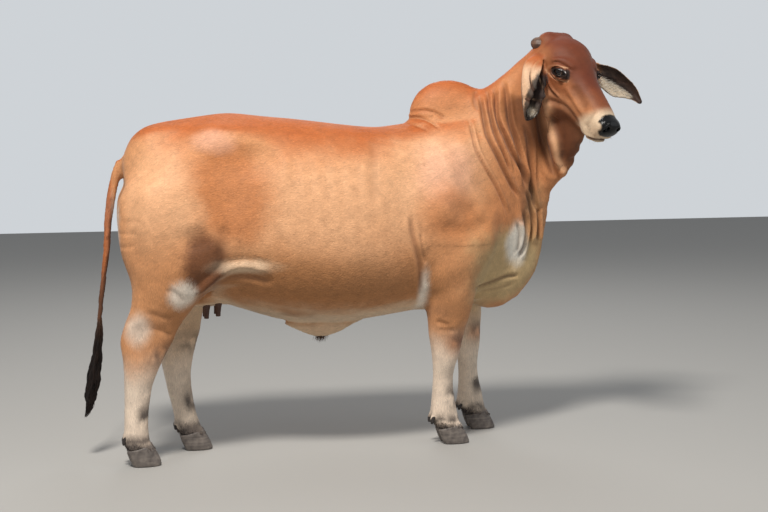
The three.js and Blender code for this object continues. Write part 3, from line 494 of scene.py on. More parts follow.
lines = {
    "neck_1": pleat(.0063, .006, [[.723, 1.371], [.727, 1.322], [.736, 1.237], [.777, 1.154], [.823, 1.081],
        [.881, .965]]),
    "neck_2": pleat(.008, .0095, [[.779, 1.475], [.787, 1.358], [.802, 1.273], [.849, 1.177], [.905, 1.079],
        [.942, 1.030]]),
    "neck_3": pleat(.0069, .0085, [[.814, 1.487], [.813, 1.400], [.831, 1.297], [.865, 1.213],
        [.899, 1.133]]),
    "neck_4": pleat(.008, .011, [[.841, 1.496], [.841, 1.370], [.875, 1.285], [.907, 1.218], [.949, 1.151],
        [.972, 1.083]]),
    "neck_5": pleat(.0092, .0125, [[.876, 1.529], [.884, 1.430], [.894, 1.351], [.920, 1.273],
        [.941, 1.200], [.963, 1.126], [.977, 1.064]]),
    "neck_6": pleat(.0103, .012, [[.950, 1.350], [.979, 1.272], [.991, 1.187], [.999, 1.094],
        [1.016, 1.026], [1.042, .963]]),
    "strap": fold(.012, -.023, [[1.020, 1.475], [1.040, 1.398], [1.062, 1.327], [1.078, 1.258],
        [1.096, 1.192], [1.126, 1.150]], full=True),
    "strap_hollow": fold(.012, .015, [[1.000, 1.440], [1.016, 1.360], [1.036, 1.285], [1.056, 1.215],
        [1.082, 1.150], [1.112, 1.112]], full=True),
    "dewlap_1": pleat(.0086, .01, [[.977, 1.064], [1.003, 1.001], [1.020, .927], [1.008, .832]]),
    "dewlap_2": pleat(.008, .008, [[1.042, .990], [1.050, .914], [1.054, .840]]),
    "dewlap_3": pleat(.0092, .009, [[.962, .985], [.980, .915], [.976, .840], [.950, .775]]),
    "dewlap_4": pleat(.0092, .006, [[.930, .930], [.948, .870], [.940, .800]]),
    "armpit": fold(.0105, .01, [[.425, .984], [.432, .912], [.449, .846], [.472, .754],
        [.484, .640]], shade=.75),
    "armpit_2": fold(.007, .005, [[.462, .905], [.474, .840], [.492, .780]]),
    "shoulder_foot": fold(.028, .005, [[.560, .941], [.614, .915], [.681, .908], [.776, .942]], shade=0),
    "shoulder_blade": fold(.03, -.007, [[.560, 1.300], [.590, 1.180], [.640, 1.060], [.700, .990]]),
    "hump_rear_1": fold(.0065, .0042, [[.470, 1.392], [.525, 1.404], [.582, 1.396],
        [.630, 1.368]], shade=.5),
    "hump_rear_2": fold(.0065, .0042, [[.462, 1.374], [.522, 1.374], [.565, 1.355],
        [.602, 1.322]], shade=.5),
    "hump_rear_3": fold(.0065, .0035, [[.452, 1.354], [.504, 1.344], [.552, 1.312]], shade=.5),
    "hump_front": fold(.008, .005, [[.776, 1.490], [.756, 1.447], [.767, 1.396]]),
    "brisket": fold(.008, .008, [[.719, .655], [.811, .677], [.882, .699], [.959, .702]]),
    "brisket_2": fold(.007, .0035, [[.760, .640], [.850, .650], [.930, .668]]),
    "flank_web": fold(.013, -.01, [[-.441, .675], [-.386, .728], [-.331, .768], [-.287, .788],
        [-.220, .790], [-.130, .770]]),
    "flank_web_under": fold(.013, .009, [[-.420, .650], [-.372, .692], [-.322, .730], [-.281, .748],
        [-.215, .748], [-.120, .722]], shade=.65),
    "thigh_front": fold(.02, .007, [[-.330, .960], [-.321, .921], [-.321, .858], [-.329, .803],
        [-.374, .726]], shade=.4),
    "thigh_back_1": fold(.008, .0022, [[-.715, .973], [-.632, .974]], shade=.2),
    "thigh_back_2": fold(.008, .0022, [[-.720, .927], [-.651, .928]], shade=.2),
    "thigh_back_3": fold(.008, .0022, [[-.720, .876], [-.660, .878]], shade=.2),
    "thigh_split": fold(.022, .0045, [[-.640, 1.120], [-.660, 1.000], [-.655, .880],
        [-.630, .780]], shade=.2),
    "last_rib": fold(.022, -.0035, [[-.060, 1.240], [-.090, 1.120], [-.110, 1.000], [-.090, .880]]),
    "knee_1": fold(.0085, .0035, [[.556, .534], [.611, .513]], shade=.6),
    "knee_2": fold(.0085, .0035, [[.572, .500], [.648, .489]], shade=.6),
    "stifle_fold": fold(.01, .004, [[-.547, .710], [-.509, .693], [-.478, .659]], shade=.6),
    "hock_1": fold(.0095, .0035, [[-.624, .623], [-.579, .606], [-.513, .586]], shade=.6),
    "hock_2": fold(.0095, .0035, [[-.610, .558], [-.564, .543], [-.524, .519]], shade=.6),
    "rib_line": fold(.02, .003, [[.297, 1.282], [.283, 1.161], [.281, 1.043]]),
}

headLines = {
    "jaw_fold": fold(.0045, -.0045, [[.091, -.036], [.148, -.076], [.184, -.092], [.221, -.104],
        [.272, -.107]]),
    "jaw_hollow": fold(.008, .005, [[.110, -.070], [.160, -.096], [.200, -.112], [.250, -.122]]),
    "jaw_line": fold(.011, .006, [[.190, -.175], [.219, -.158], [.253, -.143], [.297, -.122], [.369, -.134],
        [.404, -.148]]),
    "face_crest": fold(.01, -.004, [[.250, -.052], [.300, -.064], [.350, -.076], [.395, -.080]]),
    "face_hollow": fold(.016, .004, [[.270, -.030], [.330, -.040], [.390, -.045]]),
    "brow": fold(.008, -.005, [[.135, -.018], [.160, .012], [.190, .022], [.225, .016]]),
    "brow_fold": fold(.003, .003, [[.150, -.012], [.170, .004], [.200, .010], [.226, .006]]),
    "under_eye": fold(.0035, .003, [[.170, -.062], [.200, -.058], [.230, -.046], [.250, -.030]]),
    "mouth": fold(.0032, .007, [[.404, -.141], [.432, -.144], [.462, -.137], [.490, -.122], [.512, -.104],
        [.540, -.096]]),
    "muzzle_edge": fold(.008, .003, [[.424, -.015], [.432, -.050], [.436, -.085], [.430, -.112]]),
    "chin_fold": fold(.005, .0025, [[.400, -.150], [.430, -.146], [.470, -.136]]),
}

# Rounded masses of muscle, bone and fat: place on the right side, reach along x, y and z, and height
masses = {
    "hook": [[-.353, -.222, 1.256], [.07, .07, .06], .009],
    "pin_bone": [[-.735, -.100, 1.205], [.06, .06, .06], .008],
    "loin_hollow": [[-.190, -.250, 1.200], [.14, .12, .09], -.011],
    "rump_hollow": [[-.520, -.160, 1.280], [.11, .10, .06], -.006],
    "above_stifle": [[-.430, -.300, .905], [.10, .08, .07], -.012],
    "stifle": [[-.440, -.280, .800], [.07, .08, .08], .009],
    "thigh": [[-.590, -.280, 1.000], [.13, .10, .17], .010],
    "shoulder_point": [[.730, -.250, 1.010], [.08, .08, .09], .009],
    "upper_arm": [[.560, -.290, 1.010], [.10, .08, .11], .009],
    "behind_shoulder": [[.400, -.290, 1.080], [.07, .10, .16], -.006],
    "elbow": [[.470, -.270, .860], [.05, .06, .06], .006],
    "forearm": [[.570, -.240, .740], [.06, .06, .10], .006],
    "neck_root": [[.800, -.140, 1.210], [.09, .10, .13], .006],
    "dewlap_knob": [[1.126, -.150, 1.140], [.030, .05, .032], .017],
    "throat_hollow": [[1.118, -.150, 1.270], [.034, .09, .100], -.014],
}

# The same along the head's axis, up and to its side
headMasses = {
    "poll": [[.005, -.012, .056], [.060, .055, .055], .013],
    "lip": [[.428, -.138, .040], [.055, .042, .050], .009],
}


# The distance to a line in a flat view, worked out only near the line
def flatDistance(flat, line):
    line = np.asarray(line, float)
    low, high = line.min(0) - 0.06, line.max(0) + 0.06
    near = ((flat > low) & (flat < high)).all(1)
    distance = np.full(len(flat), 1.0)
    place = np.zeros(len(flat))
    if near.any():
        pad = np.zeros((near.sum(), 1))
        curve = spline(np.column_stack([line, np.zeros(len(line))]), 5)
        distance[near], place[near] = lineDistance(np.hstack([flat[near], pad]), curve)
    return distance, place


# How far one line moves each point, and how much painted shade it lays in a crease
def lineEffect(flat, facing, spec):
    distance, place = flatDistance(flat, spec["line"])
    ends = smooth(place / 0.16 + 0.1) * smooth((1 - place) / 0.16 + 0.1)
    d = distance / spec["width"]
    middle = np.exp(-d ** 2)
    lips = np.exp(-((d - 2.1) / 1.0) ** 2) * 0.30
    depth = spec["depth"] * (1.35 if spec["lip"] else 1)
    if spec["lip"]:
        line = np.array(sorted(spec["line"], key=lambda q: q[1]))
        front = smooth((flat[:, 0] - np.interp(flat[:, 1], line[:, 1], line[:, 0])) / spec["width"])
        lips = lips * (1 - front) + front * spec["lip"] * np.exp(-((d - 1.9) / 1.15) ** 2)
    move = -depth * (middle - lips) * ends * facing
    shade = middle * ends * facing * min(1.0, max(spec["depth"], 0) / 0.009) * spec["shade"]
    return move, shade


# All the lines and masses together, and the faint ribs of the chest
def sculptMoves(co, normals):
    p, h = co - shift, toHead(co)
    x, y, z = p.T
    move, shade = np.zeros(len(co)), np.zeros(len(co))
    onHead = smooth((0.33 - headReach(co)) / 0.06)
    for side in (-1, 1):
        facing = smooth((side * normals[:, 1] + 0.05) / 0.35) * (side * y > -0.02)
        headFacing = smooth((side * h[:, 2] - 0.030) / 0.030) * onHead
        front = smooth((side * (normals @ headSide) + 0.4) / 0.5) * onHead
        for spec in lines.values():
            m, c = lineEffect(p[:, [0, 2]], facing * (1 - onHead * (0 if spec["full"] else 0.5)), spec)
            move, shade = move + m, np.maximum(shade, c)
        for name, spec in headLines.items():
            m, c = lineEffect(h[:, :2], front if name in ("mouth", "chin_fold") else headFacing, spec)
            move, shade = move + m, np.maximum(shade, c)
        for places, mirror, group in ((p, [1, -side, 1], masses), (h, [1, 1, side], headMasses)):
            for centre, reach, height in group.values():
                q = ellipse(places, np.array(centre) * mirror, np.array(reach))
                move += height * np.clip(1 - q * q, 0, 1) ** 2
    ribs = np.sin(x * 2 * math.pi / 0.062 + 2.2 * z)
    ribArea = smooth((0.40 - np.abs(x - 0.13) - 0.12) / 0.12)
    ribArea = ribArea * smooth((0.22 - np.abs(z - 1.02)) / 0.12)
    move += 0.0012 * ribs * ribArea * smooth((np.abs(normals[:, 1]) - 0.5) / 0.3)
    return move, shade


# NOSTRILS AND LIDS

nostril = {"path": [[.488, -.030, .013], [.502, -.040, .024], [.503, -.054, .037], [.490, -.062, .046]],
           "width": .0066, "depth": .011, "rim": .0030}
# The ball's radius, the opening's half length, its reach at the tear duct, its half height above and
# below, and the lids' thickness
eye = {"radius": .021, "length": .0240, "tear": .0120, "upper": .0112, "lower": .0090, "lid": .0034}


# The middle of an eyeball, and which way is out, forward to the tear duct and up
def eyeFrame(side):
    centre = boxMiddle("eye_left" if side > 0 else "eye_right")
    out = np.array([0.9737, 0.2276, 0.0140]) if side > 0 else np.array([-0.8585, -0.5126, 0.0140])
    forward = headAxis * 0.084 + headUp * 0.045
    forward = unit(forward - out * (forward @ out))
    up = np.cross(out, forward)
    return centre, out, forward, up * np.sign(up @ headUp)


def eyeReach(co, side):
    return np.linalg.norm(co - eyeFrame(side)[0], axis=1)


def nostrilReach(co, side):
    return np.linalg.norm(toHead(co) - [.497, -.048, .030 * side], axis=1)


# The edge of the opening between the lids
def lidCurve(angle):
    reach = np.where(np.cos(angle) > 0, eye["length"] + eye["tear"], eye["length"])
    half = np.where(np.sin(angle) > 0, eye["upper"], eye["lower"])
    narrow = np.where(np.cos(angle) > 0, np.abs(np.sin(angle)) ** 0.5, np.abs(np.sin(angle)) ** 0.2)
    return np.stack([reach * np.cos(angle), half * np.sin(angle) * narrow], -1)


# How far each point of the lids' plane lies outside the opening; inside it is negative
def lidDistance(a, b):
    curve = lidCurve(np.linspace(0, 2 * math.pi, 73))
    line = np.column_stack([curve, np.zeros(len(curve))])
    flat = np.column_stack([a, b, np.zeros(len(a))])
    distance, _ = lineDistance(flat, line)
    angle = np.arctan2(b / eye["upper"], a / eye["length"])
    edge = np.linalg.norm(lidCurve(angle), axis=1)
    return np.where(np.hypot(a, b) < edge, -distance, distance)


# The height of the lids over the middle of the ball
def lidHeight(a, b):
    away = np.hypot(a, b)
    over = np.sqrt(np.maximum((eye["radius"] + eye["lid"]) ** 2 - away ** 2, 0))
    return np.logaddexp(over / 0.002, 0.0138 / 0.002) * 0.002


# The skin round each eye is laid over the ball, with a fold above, a bag below and a hole for the ball
def shapeSockets(co):
    for side in (1, -1):
        centre, out, forward, up = eyeFrame(side)
        d = co - centre
        a, b, n = d @ forward, d @ up, d @ out
        near = np.where((np.hypot(a, b) < 0.06) & (n > -0.004) & (n < 0.05))[0]
        a, b, n = a[near], b[near], n[near]
        w = lidDistance(a, b)
        blend = 1 - smooth((w - 0.006) / 0.016)
        height = lidHeight(a, b)
        fold = 0.0026 * np.exp(-((w - 0.0105) / 0.0016) ** 2) * smooth(b / 0.006)
        bag = 0.0018 * np.exp(-((w - 0.0100) / 0.0018) ** 2) * smooth(-b / 0.006)
        puff = 0.0020 * np.exp(-((w - 0.0145) / 0.0030) ** 2)
        target = n * (1 - blend) + (height - coatDepth) * blend - fold - bag + puff
        sunk = smooth((0.0042 - w) / 0.003)
        target = target - sunk * (0.004 + 0.25 * np.clip(height, 0, 0.03))
        co[near] += (target - n)[:, None] * out
    return co


# A curled slot with a raised rim on each side of the nose pad
def pressNostrils(co, normals):
    h = toHead(co)
    for side in (1, -1):
        path = spline(np.array(nostril["path"]) * [1, 1, side], 10)
        near = np.where(np.linalg.norm(h - path.mean(0), axis=1) < 0.05)[0]
        distance, place = lineDistance(h[near], path)
        q = distance / (nostril["width"] * np.interp(place, [0, .25, .7, 1], [.75, 1.0, 1.0, .6]))
        press = nostril["depth"] * (1 - smooth((q - 0.30) / 0.80))
        rim = nostril["rim"] * np.exp(-((q - 1.55) / 0.42) ** 2)
        co[near] += normals[near] * (rim - press)[:, None]


# A lid's rim: rings round the opening, from inside the ball over the edge and down into the skin
def lidPiece(name, side):
    centre, out, forward, up = eyeFrame(side)
    count = 96
    angle = np.linspace(0, 2 * math.pi, count, endpoint=False)
    curve = lidCurve(angle)
    tangent = unit(np.roll(curve, -1, 0) - np.roll(curve, 1, 0))
    normal = np.stack([tangent[:, 1], -tangent[:, 0]], -1)
    profile = [(-.0012, -.0048), (0, -.0030), (0, -.0012), (.0006, -.0003), (.0018, .0002), (.0036, .0001),
               (.0056, -.0006), (.0076, -.0018), (.0092, -.0034)]
    rings = []
    for w, h in profile:
        flat = curve + normal * w
        for _ in range(3):
            flat = 0.25 * np.roll(flat, 1, 0) + 0.5 * flat + 0.25 * np.roll(flat, -1, 0)
        height = lidHeight(flat[:, 0], flat[:, 1]) + h
        rings.append(centre + flat[:, :1] * forward + flat[:, 1:] * up + height[:, None] * out)
    co = np.concatenate(rings)
    faces = []
    for r in range(len(profile) - 1):
        for i in range(count):
            a, b = r * count + i, r * count + (i + 1) % count
            faces += [[a, b, b + count, a + count]]
    o = makeObject(name, co, faces)
    normals = np.zeros(len(o.data.polygons) * 3, np.float32)
    o.data.polygons.foreach_get("normal", normals)
    if (normals.reshape(-1, 3) @ out).sum() < 0:
        o.data.flip_normals()
    return o


# The ears were joined thick, so that they came out whole. Here their backs come forward.
def thinEars(co, edges):
    joined = earThickness["joined"]
    for side in (1, -1):
        on, place, over, behind, out = earPlace(co, side, earReach["thin"])
        thick = np.interp(place, earThickness["at"], earThickness["size"]) * (1 - 0.3 * over ** 2)
        share = np.clip(behind / joined, 0, 1)
        move = (share * thick - behind).clip(-0.0045, 0.0010) * smooth((place - 0.16) / 0.2) * on
        co = co + relax(out * move[:, None], edges, 5.0 * (on > 0))
    return co


# Finer faces round the eyes and the nostrils, where the lids need them
def refine(o, rounds):
    for step in range(rounds):
        co, _ = meshArrays(o)
        pick = np.zeros(len(co), bool)
        for side in (1, -1):
            pick |= eyeReach(co, side) < 0.050 - 0.010 * step
            pick |= nostrilReach(co, side) < 0.034 - 0.006 * step
        bm = bmesh.new()
        bm.from_mesh(o.data)
        edges = [e for e in bm.edges if pick[e.verts[0].index] and pick[e.verts[1].index]]
        bmesh.ops.subdivide_edges(bm, edges=edges, cuts=1, use_grid_fill=True, smooth=0.0)
        bmesh.ops.triangulate(bm, faces=bm.faces[:])
        bm.to_mesh(o.data)
        bm.free()
        o.data.update()


# Fewer faces, with short edges kept on the head, the ears and the folded neck. A group of 0 keeps
# a place finest, and its edges grow as the group nears 1.
def thinned(o, limit):
    co, tris = meshArrays(o)
    spread = np.interp(headReach(co), [0.22, 0.38, 0.75, 1.2], [0.50, 0.42, 0.26, 0.165])
    for side in (1, -1):
        spread = np.maximum(spread, np.interp(eyeReach(co, side), [.04, .07], [1, 0]))
        spread = np.maximum(spread, np.interp(nostrilReach(co, side), [.03, .06], [0.9, 0]))
    group = o.vertex_groups.new(name="spread")
    level = np.round((1 - spread) * 40).astype(int)
    for k in range(1, 41):
        members = np.where(level == k)[0]
        if len(members):
            group.add(members.tolist(), k / 40, "REPLACE")
    applyModifier(o, "DECIMATE", ratio=limit / len(tris), vertex_group="spread", vertex_group_factor=0.002)
    o.vertex_groups.clear()


# The skin lies this far under the sculpted surface, as the coat's tufts stand on it
coatDepth = 0.0012
hideLimit = 192000

hide = skinBase()
co, tris = meshArrays(hide)
co = relax(co, edgesOf(hide), roundsAt(co))
setPlaces(hide, co)
print("smoothed")
refine(hide, 2)
co, tris = meshArrays(hide)
nearFace = headReach(co) < 0.4
co = relax(co, edgesOf(hide), 4.0 * nearFace)
normals = vertexNormals(co, tris)
move, _ = sculptMoves(co, normals)
co = co + normals * (move - coatDepth)[:, None]
co = thinEars(co, edgesOf(hide))
co = shapeSockets(co)
pressNostrils(co, vertexNormals(co, tris))
setPlaces(hide, co)
print("sculpted", len(tris), "triangles")
thinned(hide, hideLimit)
smoothFaces(hide.data)
print("thinned to", len(hide.data.polygons), "faces")


# MARKINGS. Colours run from 0 to 255. Most are the coat's own as seen in even light, and some are painted
# shade, painted shadow and painted highlight.

colours = {
    "tan": (206, 139, 88), "pale_tan": (232, 178, 134), "ridge": (180, 92, 36), "cream": (226, 204, 174),
    "white": (242, 234, 220), "hip": (192, 116, 62), "pink_highlight": (228, 172, 142), "stifle": (104, 60, 32),
    "face": (100, 42, 20), "cheek_with_shade": (132, 66, 30), "neck": (196, 126, 78), "leg": (238, 220, 200),
    "smoke": (58, 50, 50), "dark": (26, 19, 17), "nose": (9, 8, 9), "ear_inside": (36, 28, 27),
    "ear_back": (226, 190, 156), "tail": (176, 98, 50), "tail_under": (60, 42, 34),
    "switch_brown": (84, 56, 40),
    "switch_black": (18, 15, 15), "crease_shade": (96, 64, 46), "belly": (166, 112, 66), "throat_shadow": (104, 60, 34),
    "lip": (84, 64, 58), "lid": (34, 24, 21), "eye_ring_highlight": (222, 174, 134), "chest": (196, 170, 124),
    "teat": (92, 62, 50), "horn": (124, 94, 76), "horn_dark": (58, 44, 38), "hoof": (140, 130, 122),
    "hoof_dark": (74, 68, 66), "iris": (22, 12, 8), "pupil": (4, 4, 6), "eye_white": (96, 74, 60),
}

# Soft patches of the body: colour, middle and reach along x, y and z on either side, softness, strength
bodyPatches = [
    # Painted highlight: the pale tan patches on the mid flank and the shoulder, and the pink ones on the
    # shoulder and the hook
    ["pale_tan", (.12, .33, 1.02), (.46, .25, .20), .60, .75],
    ["pale_tan", (.56, .30, 1.18), (.21, .20, .17), .60, .95],
    ["pink_highlight", (.60, .26, 1.16), (.13, .16, .11), .60, .65],
    ["hip", (-.29, .28, 1.08), (.17, .16, .19), .35, .75],
    ["hip", (.60, .28, .98), (.12, .16, .10), .50, .60],
    ["pink_highlight", (-.34, .20, 1.275), (.075, .07, .045), .45, .60],
    ["pale_tan", (-.58, .26, 1.08), (.13, .20, .20), .50, .75],
    ["pale_tan", (-.44, .28, .99), (.06, .10, .07), .50, .50],
    # Painted shade on the lower flank
    ["belly", (-.02, .26, .70), (.50, .20, .13), .50, .70],
    ["white", (-.748, .15, .97), (.030, .16, .20), .45, .85],
    # Painted shadow on the lower thigh by the stifle, cast by the haunch's bulge above
    ["stifle", (-.392, .28, .800), (.090, .12, .118), .34, .90],
    ["cream", (-.23, .25, .790), (.13, .14, .030), .45, .55],
    ["white", (-.485, .24, .690), (.055, .09, .055), .40, .75],
    ["white", (.496, .24, .61), (.022, .14, .13), .55, .80],
    ["white", (-.655, .22, .55), (.045, .09, .06), .50, .60],
    ["chest", (.86, .12, .74), (.22, .18, .18), .40, .90],
    ["chest", (.99, .00, .92), (.10, .10, .24), .40, .55],
    ["white", (.935, .10, .85), (.060, .10, .095), .35, .95],
    # Painted shade at the base of the neck's front
    ["crease_shade", (.97, .06, 1.06), (.045, .10, .14), .50, .40],
    # Painted shadow in the throat's hollow under the head
    ["throat_shadow", (1.118, .15, 1.28), (.05, .14, .12), .50, .65],
    ["cream", (.10, .00, .47), (.34, .10, .055), .40, .65],
    ["switch_brown", (.106, .00, .445), (.040, .05, .020), .40, .60],
]

# The same along the head's axis, up and to its side
headPatches = [
    ["face", (.14, .03, .00), (.26, .13, .14), .40, .92],
    ["face", (.33, -.01, .00), (.16, .07, .07), .45, .55],
    # Red-brown of the cheek, darkened by painted shade under the cheek and jaw
    ["cheek_with_shade", (.17, -.12, .09), (.15, .09, .08), .50, .80],
    ["pale_tan", (.27, -.12, .075), (.07, .035, .05), .60, .20],
    ["pale_tan", (.10, -.20, .04), (.16, .06, .09), .50, .45],
    ["cream", (.482, -.135, .00), (.060, .035, .06), .40, .80],
    ["lid", (.512, -.118, .00), (.034, .030, .05), .35, .80],
]

# Dark smudges down the legs: height, reach, strength, and whether in front (1), behind (-1) or all round
legSmoke = [(.45, .045, .60, 1), (.106, .020, .85, 0), (.205, .045, .92, 1), (.30, .05, .20, 1),
            (.57, .03, .25, -1)]


# A colour in the linear values that materials take
def linear(name):
    c = np.array(colours[name]) / 255
    return ((c + 0.055) / 1.055) ** 2.4


def lay(tone, name, amount):
    return tone + np.clip(amount, 0, 1)[:, None] * (linear(name) - tone)


def layPatches(tone, places, patches, warp, weight):
    for name, middle, reach, soft, strength in patches:
        q = ellipse(places, np.array(middle), np.array(reach)) + warp
        tone = lay(tone, name, strength * smooth((1 + soft - q) / (2 * soft)) * weight)
    return tone


# The lids round one eye, the dark skin round them, spread wider with painted shade of the brow, and a ring
# of painted highlight, brightest under the eye, with a spot of it on the brow
def eyeTones(co, tone, gloss, side):
    centre, out, forward, over = eyeFrame(side)
    d = co - centre
    x, y, n = d @ forward, d @ over, d @ out
    near = (np.hypot(x, y) < 0.085) & (n > -0.01)
    w = np.full(len(co), 1.0)
    w[near] = lidDistance(x[near], y[near])
    rimmed = ellipse(np.stack([x, y, 0 * x], 1), np.array([.012, -.001, 0]), np.array([.056, .0215, 1]))
    rimmed = rimmed + 0.10 * wobble(co, 0.03, 21)
    # Painted highlight: a pale ring round the dark, brightest under the eye, and a spot on the brow above
    # its front
    ring = np.exp(-((rimmed - 1.30) / 0.13) ** 2) * near
    browHighlight = np.exp(-((x - 0.020) / 0.014) ** 2) * smooth(y / 0.01)
    tone = lay(tone, "eye_ring_highlight", 0.80 * ring * (0.20 + 0.65 * smooth(0.5 - y / 0.014) + 0.8 * browHighlight))
    tone = lay(tone, "lid", smooth((0.0090 - w) / 0.0045))
    # Dark skin round the eye, spread wider as painted shade under the brow
    tone = lay(tone, "lid", 0.90 * near * smooth((1.08 - rimmed) / 0.26))
    return tone, np.maximum(gloss, 0.6 * smooth((0.006 - w) / 0.003))


# An ear is dark inside and pale behind, with a dark edge and tip. The near ear's back is painted dark round
# a pale wedge that narrows to the tip, partly the dark of its inside, which the ear turns forward there,
# and partly painted shadow of the gap between ear and neck.
def earTones(co, normals, tone, side):
    on, place, across, _, outward = earPlace(co, side)
    weight = smooth((place - (0.17 if side > 0 else 0.22)) / 0.12) * on
    back = smooth((normals * outward).sum(1) / 0.5 + 0.5)
    tone = lay(tone, "ear_back", 0.85 * weight * back)
    tone = lay(tone, "ear_inside", 0.95 * weight * (1 - back))
    white = smooth((across - 0.20) / 0.25) * smooth((0.80 - place) / 0.12) * smooth((place - 0.20) / 0.1)
    if side < 0:
        white = np.exp(-((place - 0.70) / 0.060) ** 2) * np.exp(-((across - 0.55) / 0.25) ** 2)
        pale = 0.5 * np.clip((0.68 - place) / 0.43, 0, 1)
        # Painted dark on the near ear's back: part the dark of its inside, part painted shadow between ear
        # and neck
        dark = smooth((np.abs(np.abs(across) - 0.5) - pale) / 0.15 + 0.3) * smooth((place - 0.25) / 0.12)
        tone = lay(tone, "dark", 0.93 * weight * back * dark)
    tone = lay(tone, "cream", 0.75 * white * weight * (1 - back))
    tone = lay(tone, "dark", 0.75 * weight * smooth((np.abs(across) - 0.93) / 0.06))
    return lay(tone, "dark", 0.85 * weight * smooth((place - 0.92) / 0.06))


# The colour of the coat at each point, how far it is bare and glossy there, and how deep in a crease, which
# is also how much painted shade it has there
def markings(co, normals):
    p, h = co - shift, toHead(co)
    x, y, z = p.T
    either = p * [1, 0, 1] + np.abs(p) * [0, 1, 0]
    headEither = h * [1, 1, 0] + np.abs(h) * [0, 0, 1]
    warp = 0.16 * wobble(co, 0.17, 3) + 0.07 * wobble(co, 0.05, 4)
    tone = np.tile(linear("tan"), (len(co), 1))
    tone = lay(tone, "pale_tan", 0.22 + 0.22 * wobble(co, 0.55, 5))
    tone = lay(tone, "neck", 0.6 * smooth((x - 0.72) / 0.15))
    up = normals[:, 2]
    onTop = smooth((up - 0.30) / 0.55) * smooth((z - 1.08) / 0.14)
    tone = lay(tone, "ridge", 0.90 * onTop * (1 + 0.3 * warp))
    onHump = smooth((1.25 - ellipse(p, [0.64, 0, 1.46], [0.24, 0.2, 0.18])) / 0.5)
    tone = lay(tone, "ridge", 0.62 * onHump * smooth((z - 1.32 + 0.05 * warp) / 0.20))
    trunk = smooth((0.92 - z) / 0.1) * smooth((0.85 - x) / 0.1) * smooth((x + 0.62) / 0.1)
    # Painted shade: the trunk darker where it faces down
    tone = lay(tone, "belly", 0.70 * trunk * smooth((-up - 0.05 + 0.25 * warp) / 0.5))
    tone = lay(tone, "cream", 0.75 * trunk * smooth((-up - 0.62 + 0.25 * warp) / 0.3))
    inward = smooth((-np.sign(y) * normals[:, 1] - 0.05) / 0.45) * smooth((0.98 - z) / 0.12)
    tone = lay(tone, "cream", 0.8 * inward * (np.abs(y) > 0.02))
    tone = layPatches(tone, either, bodyPatches, warp, 1)
    onLeg = (x < 0.9) * ((np.abs(y) > 0.02) | ((z < 0.35) & (x > -0.76)))
    low = smooth((np.where(x > 0, 0.53, 0.50) - z + 0.10 * warp) / 0.20)
    tone = lay(tone, "leg", 0.90 * low * onLeg)
    knee = np.exp(-((z - 0.435) / 0.035) ** 2) * smooth(normals[:, 0] / 0.6 + 0.6) * (x > 0)
    tone = lay(tone, "hip", 0.60 * knee * onLeg)
    for height, reach, strength, way in legSmoke:
        side = 1 if way == 0 else smooth(way * normals[:, 0] / 0.5 + 0.35)
        band = np.exp(-((z - height) / reach) ** 2) * smooth(0.90 + 1.0 * wobble(co, 0.07, 6))
        tone = lay(tone, "smoke", strength * band * side * onLeg * (z < 0.7))
    tone = lay(tone, "smoke", 0.85 * smooth((0.098 - z + 0.06 * warp) / 0.014) * onLeg)
    onTail = smooth((-0.690 - x) / 0.03) * smooth((0.055 - np.abs(y)) / 0.015)
    onTail = onTail * smooth((z - 0.45) / 0.05) * smooth((1.30 - z) / 0.06)
    tailOnly = onTail * smooth((-0.728 - x) / 0.02)
    tone = lay(tone, "tail", 0.9 * tailOnly)
    inner = smooth(normals[:, 0] / 0.5) * smooth((1.18 - z) / 0.05)
    tone = lay(tone, "tail_under", 0.75 * tailOnly * inner)
    tone = lay(tone, "switch_brown", 0.9 * tailOnly * smooth((0.86 - z) / 0.22))
    onHead = smooth((0.37 - headReach(co)) / 0.09) * smooth((h[:, 0] + 0.12) / 0.1)
    tone = layPatches(tone, headEither, headPatches, 0.6 * warp, onHead)
    a, u, c = headEither.T
    # Painted shadow under the jaw line
    jaw = np.interp(a, [.10, .219, .253, .297, .369, .42], [-.205, -.158, -.143, -.122, -.134, -.158])
    tone = lay(tone, "throat_shadow", 0.80 * onHead * smooth((jaw - u) / 0.035) * smooth((a - 0.10) / 0.06))
    strap = lines["strap"]["line"]
    distance, _ = flatDistance(p[:, [0, 2]], strap)
    front = smooth((x - np.interp(-z, [-q[1] for q in strap], [q[0] for q in strap])) / 0.016)
    under = smooth((1.44 - z) / 0.08) * smooth((z - 1.10) / 0.10)
    # Painted shadow in the hollow between the strap and the jaw
    tone = lay(tone, "throat_shadow", 0.80 * under * front * smooth((0.110 - distance) / 0.06))
    # Painted highlight along the strap's ridge
    tone = lay(tone, "pale_tan", 0.80 * np.exp(-(distance / 0.015) ** 2))
    edge = np.interp(u, [-.126, -.076, -.034, -.010], [.374, .393, .422, .428])
    muzzle = smooth((a - edge) / 0.050 + 0.4 + 0.3 * warp) * smooth((u + 0.168) / 0.02)
    tone = lay(tone, "cream", 0.85 * onHead * muzzle)
    pad = np.interp(u, [-.085, -.060, -.045, -.020], [.500, .484, .466, .455])
    pad = smooth((a - pad) / 0.006 + 0.5) * smooth((0.057 - c) / 0.006) * smooth((u + 0.092) / 0.006)
    tone = lay(tone, "nose", pad * onHead)
    gloss = pad * onHead
    distance, _ = flatDistance(h[:, :2], headLines["mouth"]["line"])
    tone = lay(tone, "lip", 0.9 * smooth((0.0042 * 1.6 - distance) / 0.0042) * onHead)
    for side in (1, -1):
        tone, gloss = eyeTones(co, tone, gloss, side)
        tone = earTones(co, normals, tone, side)
    _, shade = sculptMoves(co, normals)
    # Painted shade: the coat is darkened along every crease
    tone = lay(tone, "crease_shade", 0.66 * shade)
    tone = tone * (1 + 0.07 * wobble(co, 0.05, 7) + 0.05 * wobble(co, 0.014, 8))[:, None]
    return tone, gloss, shade


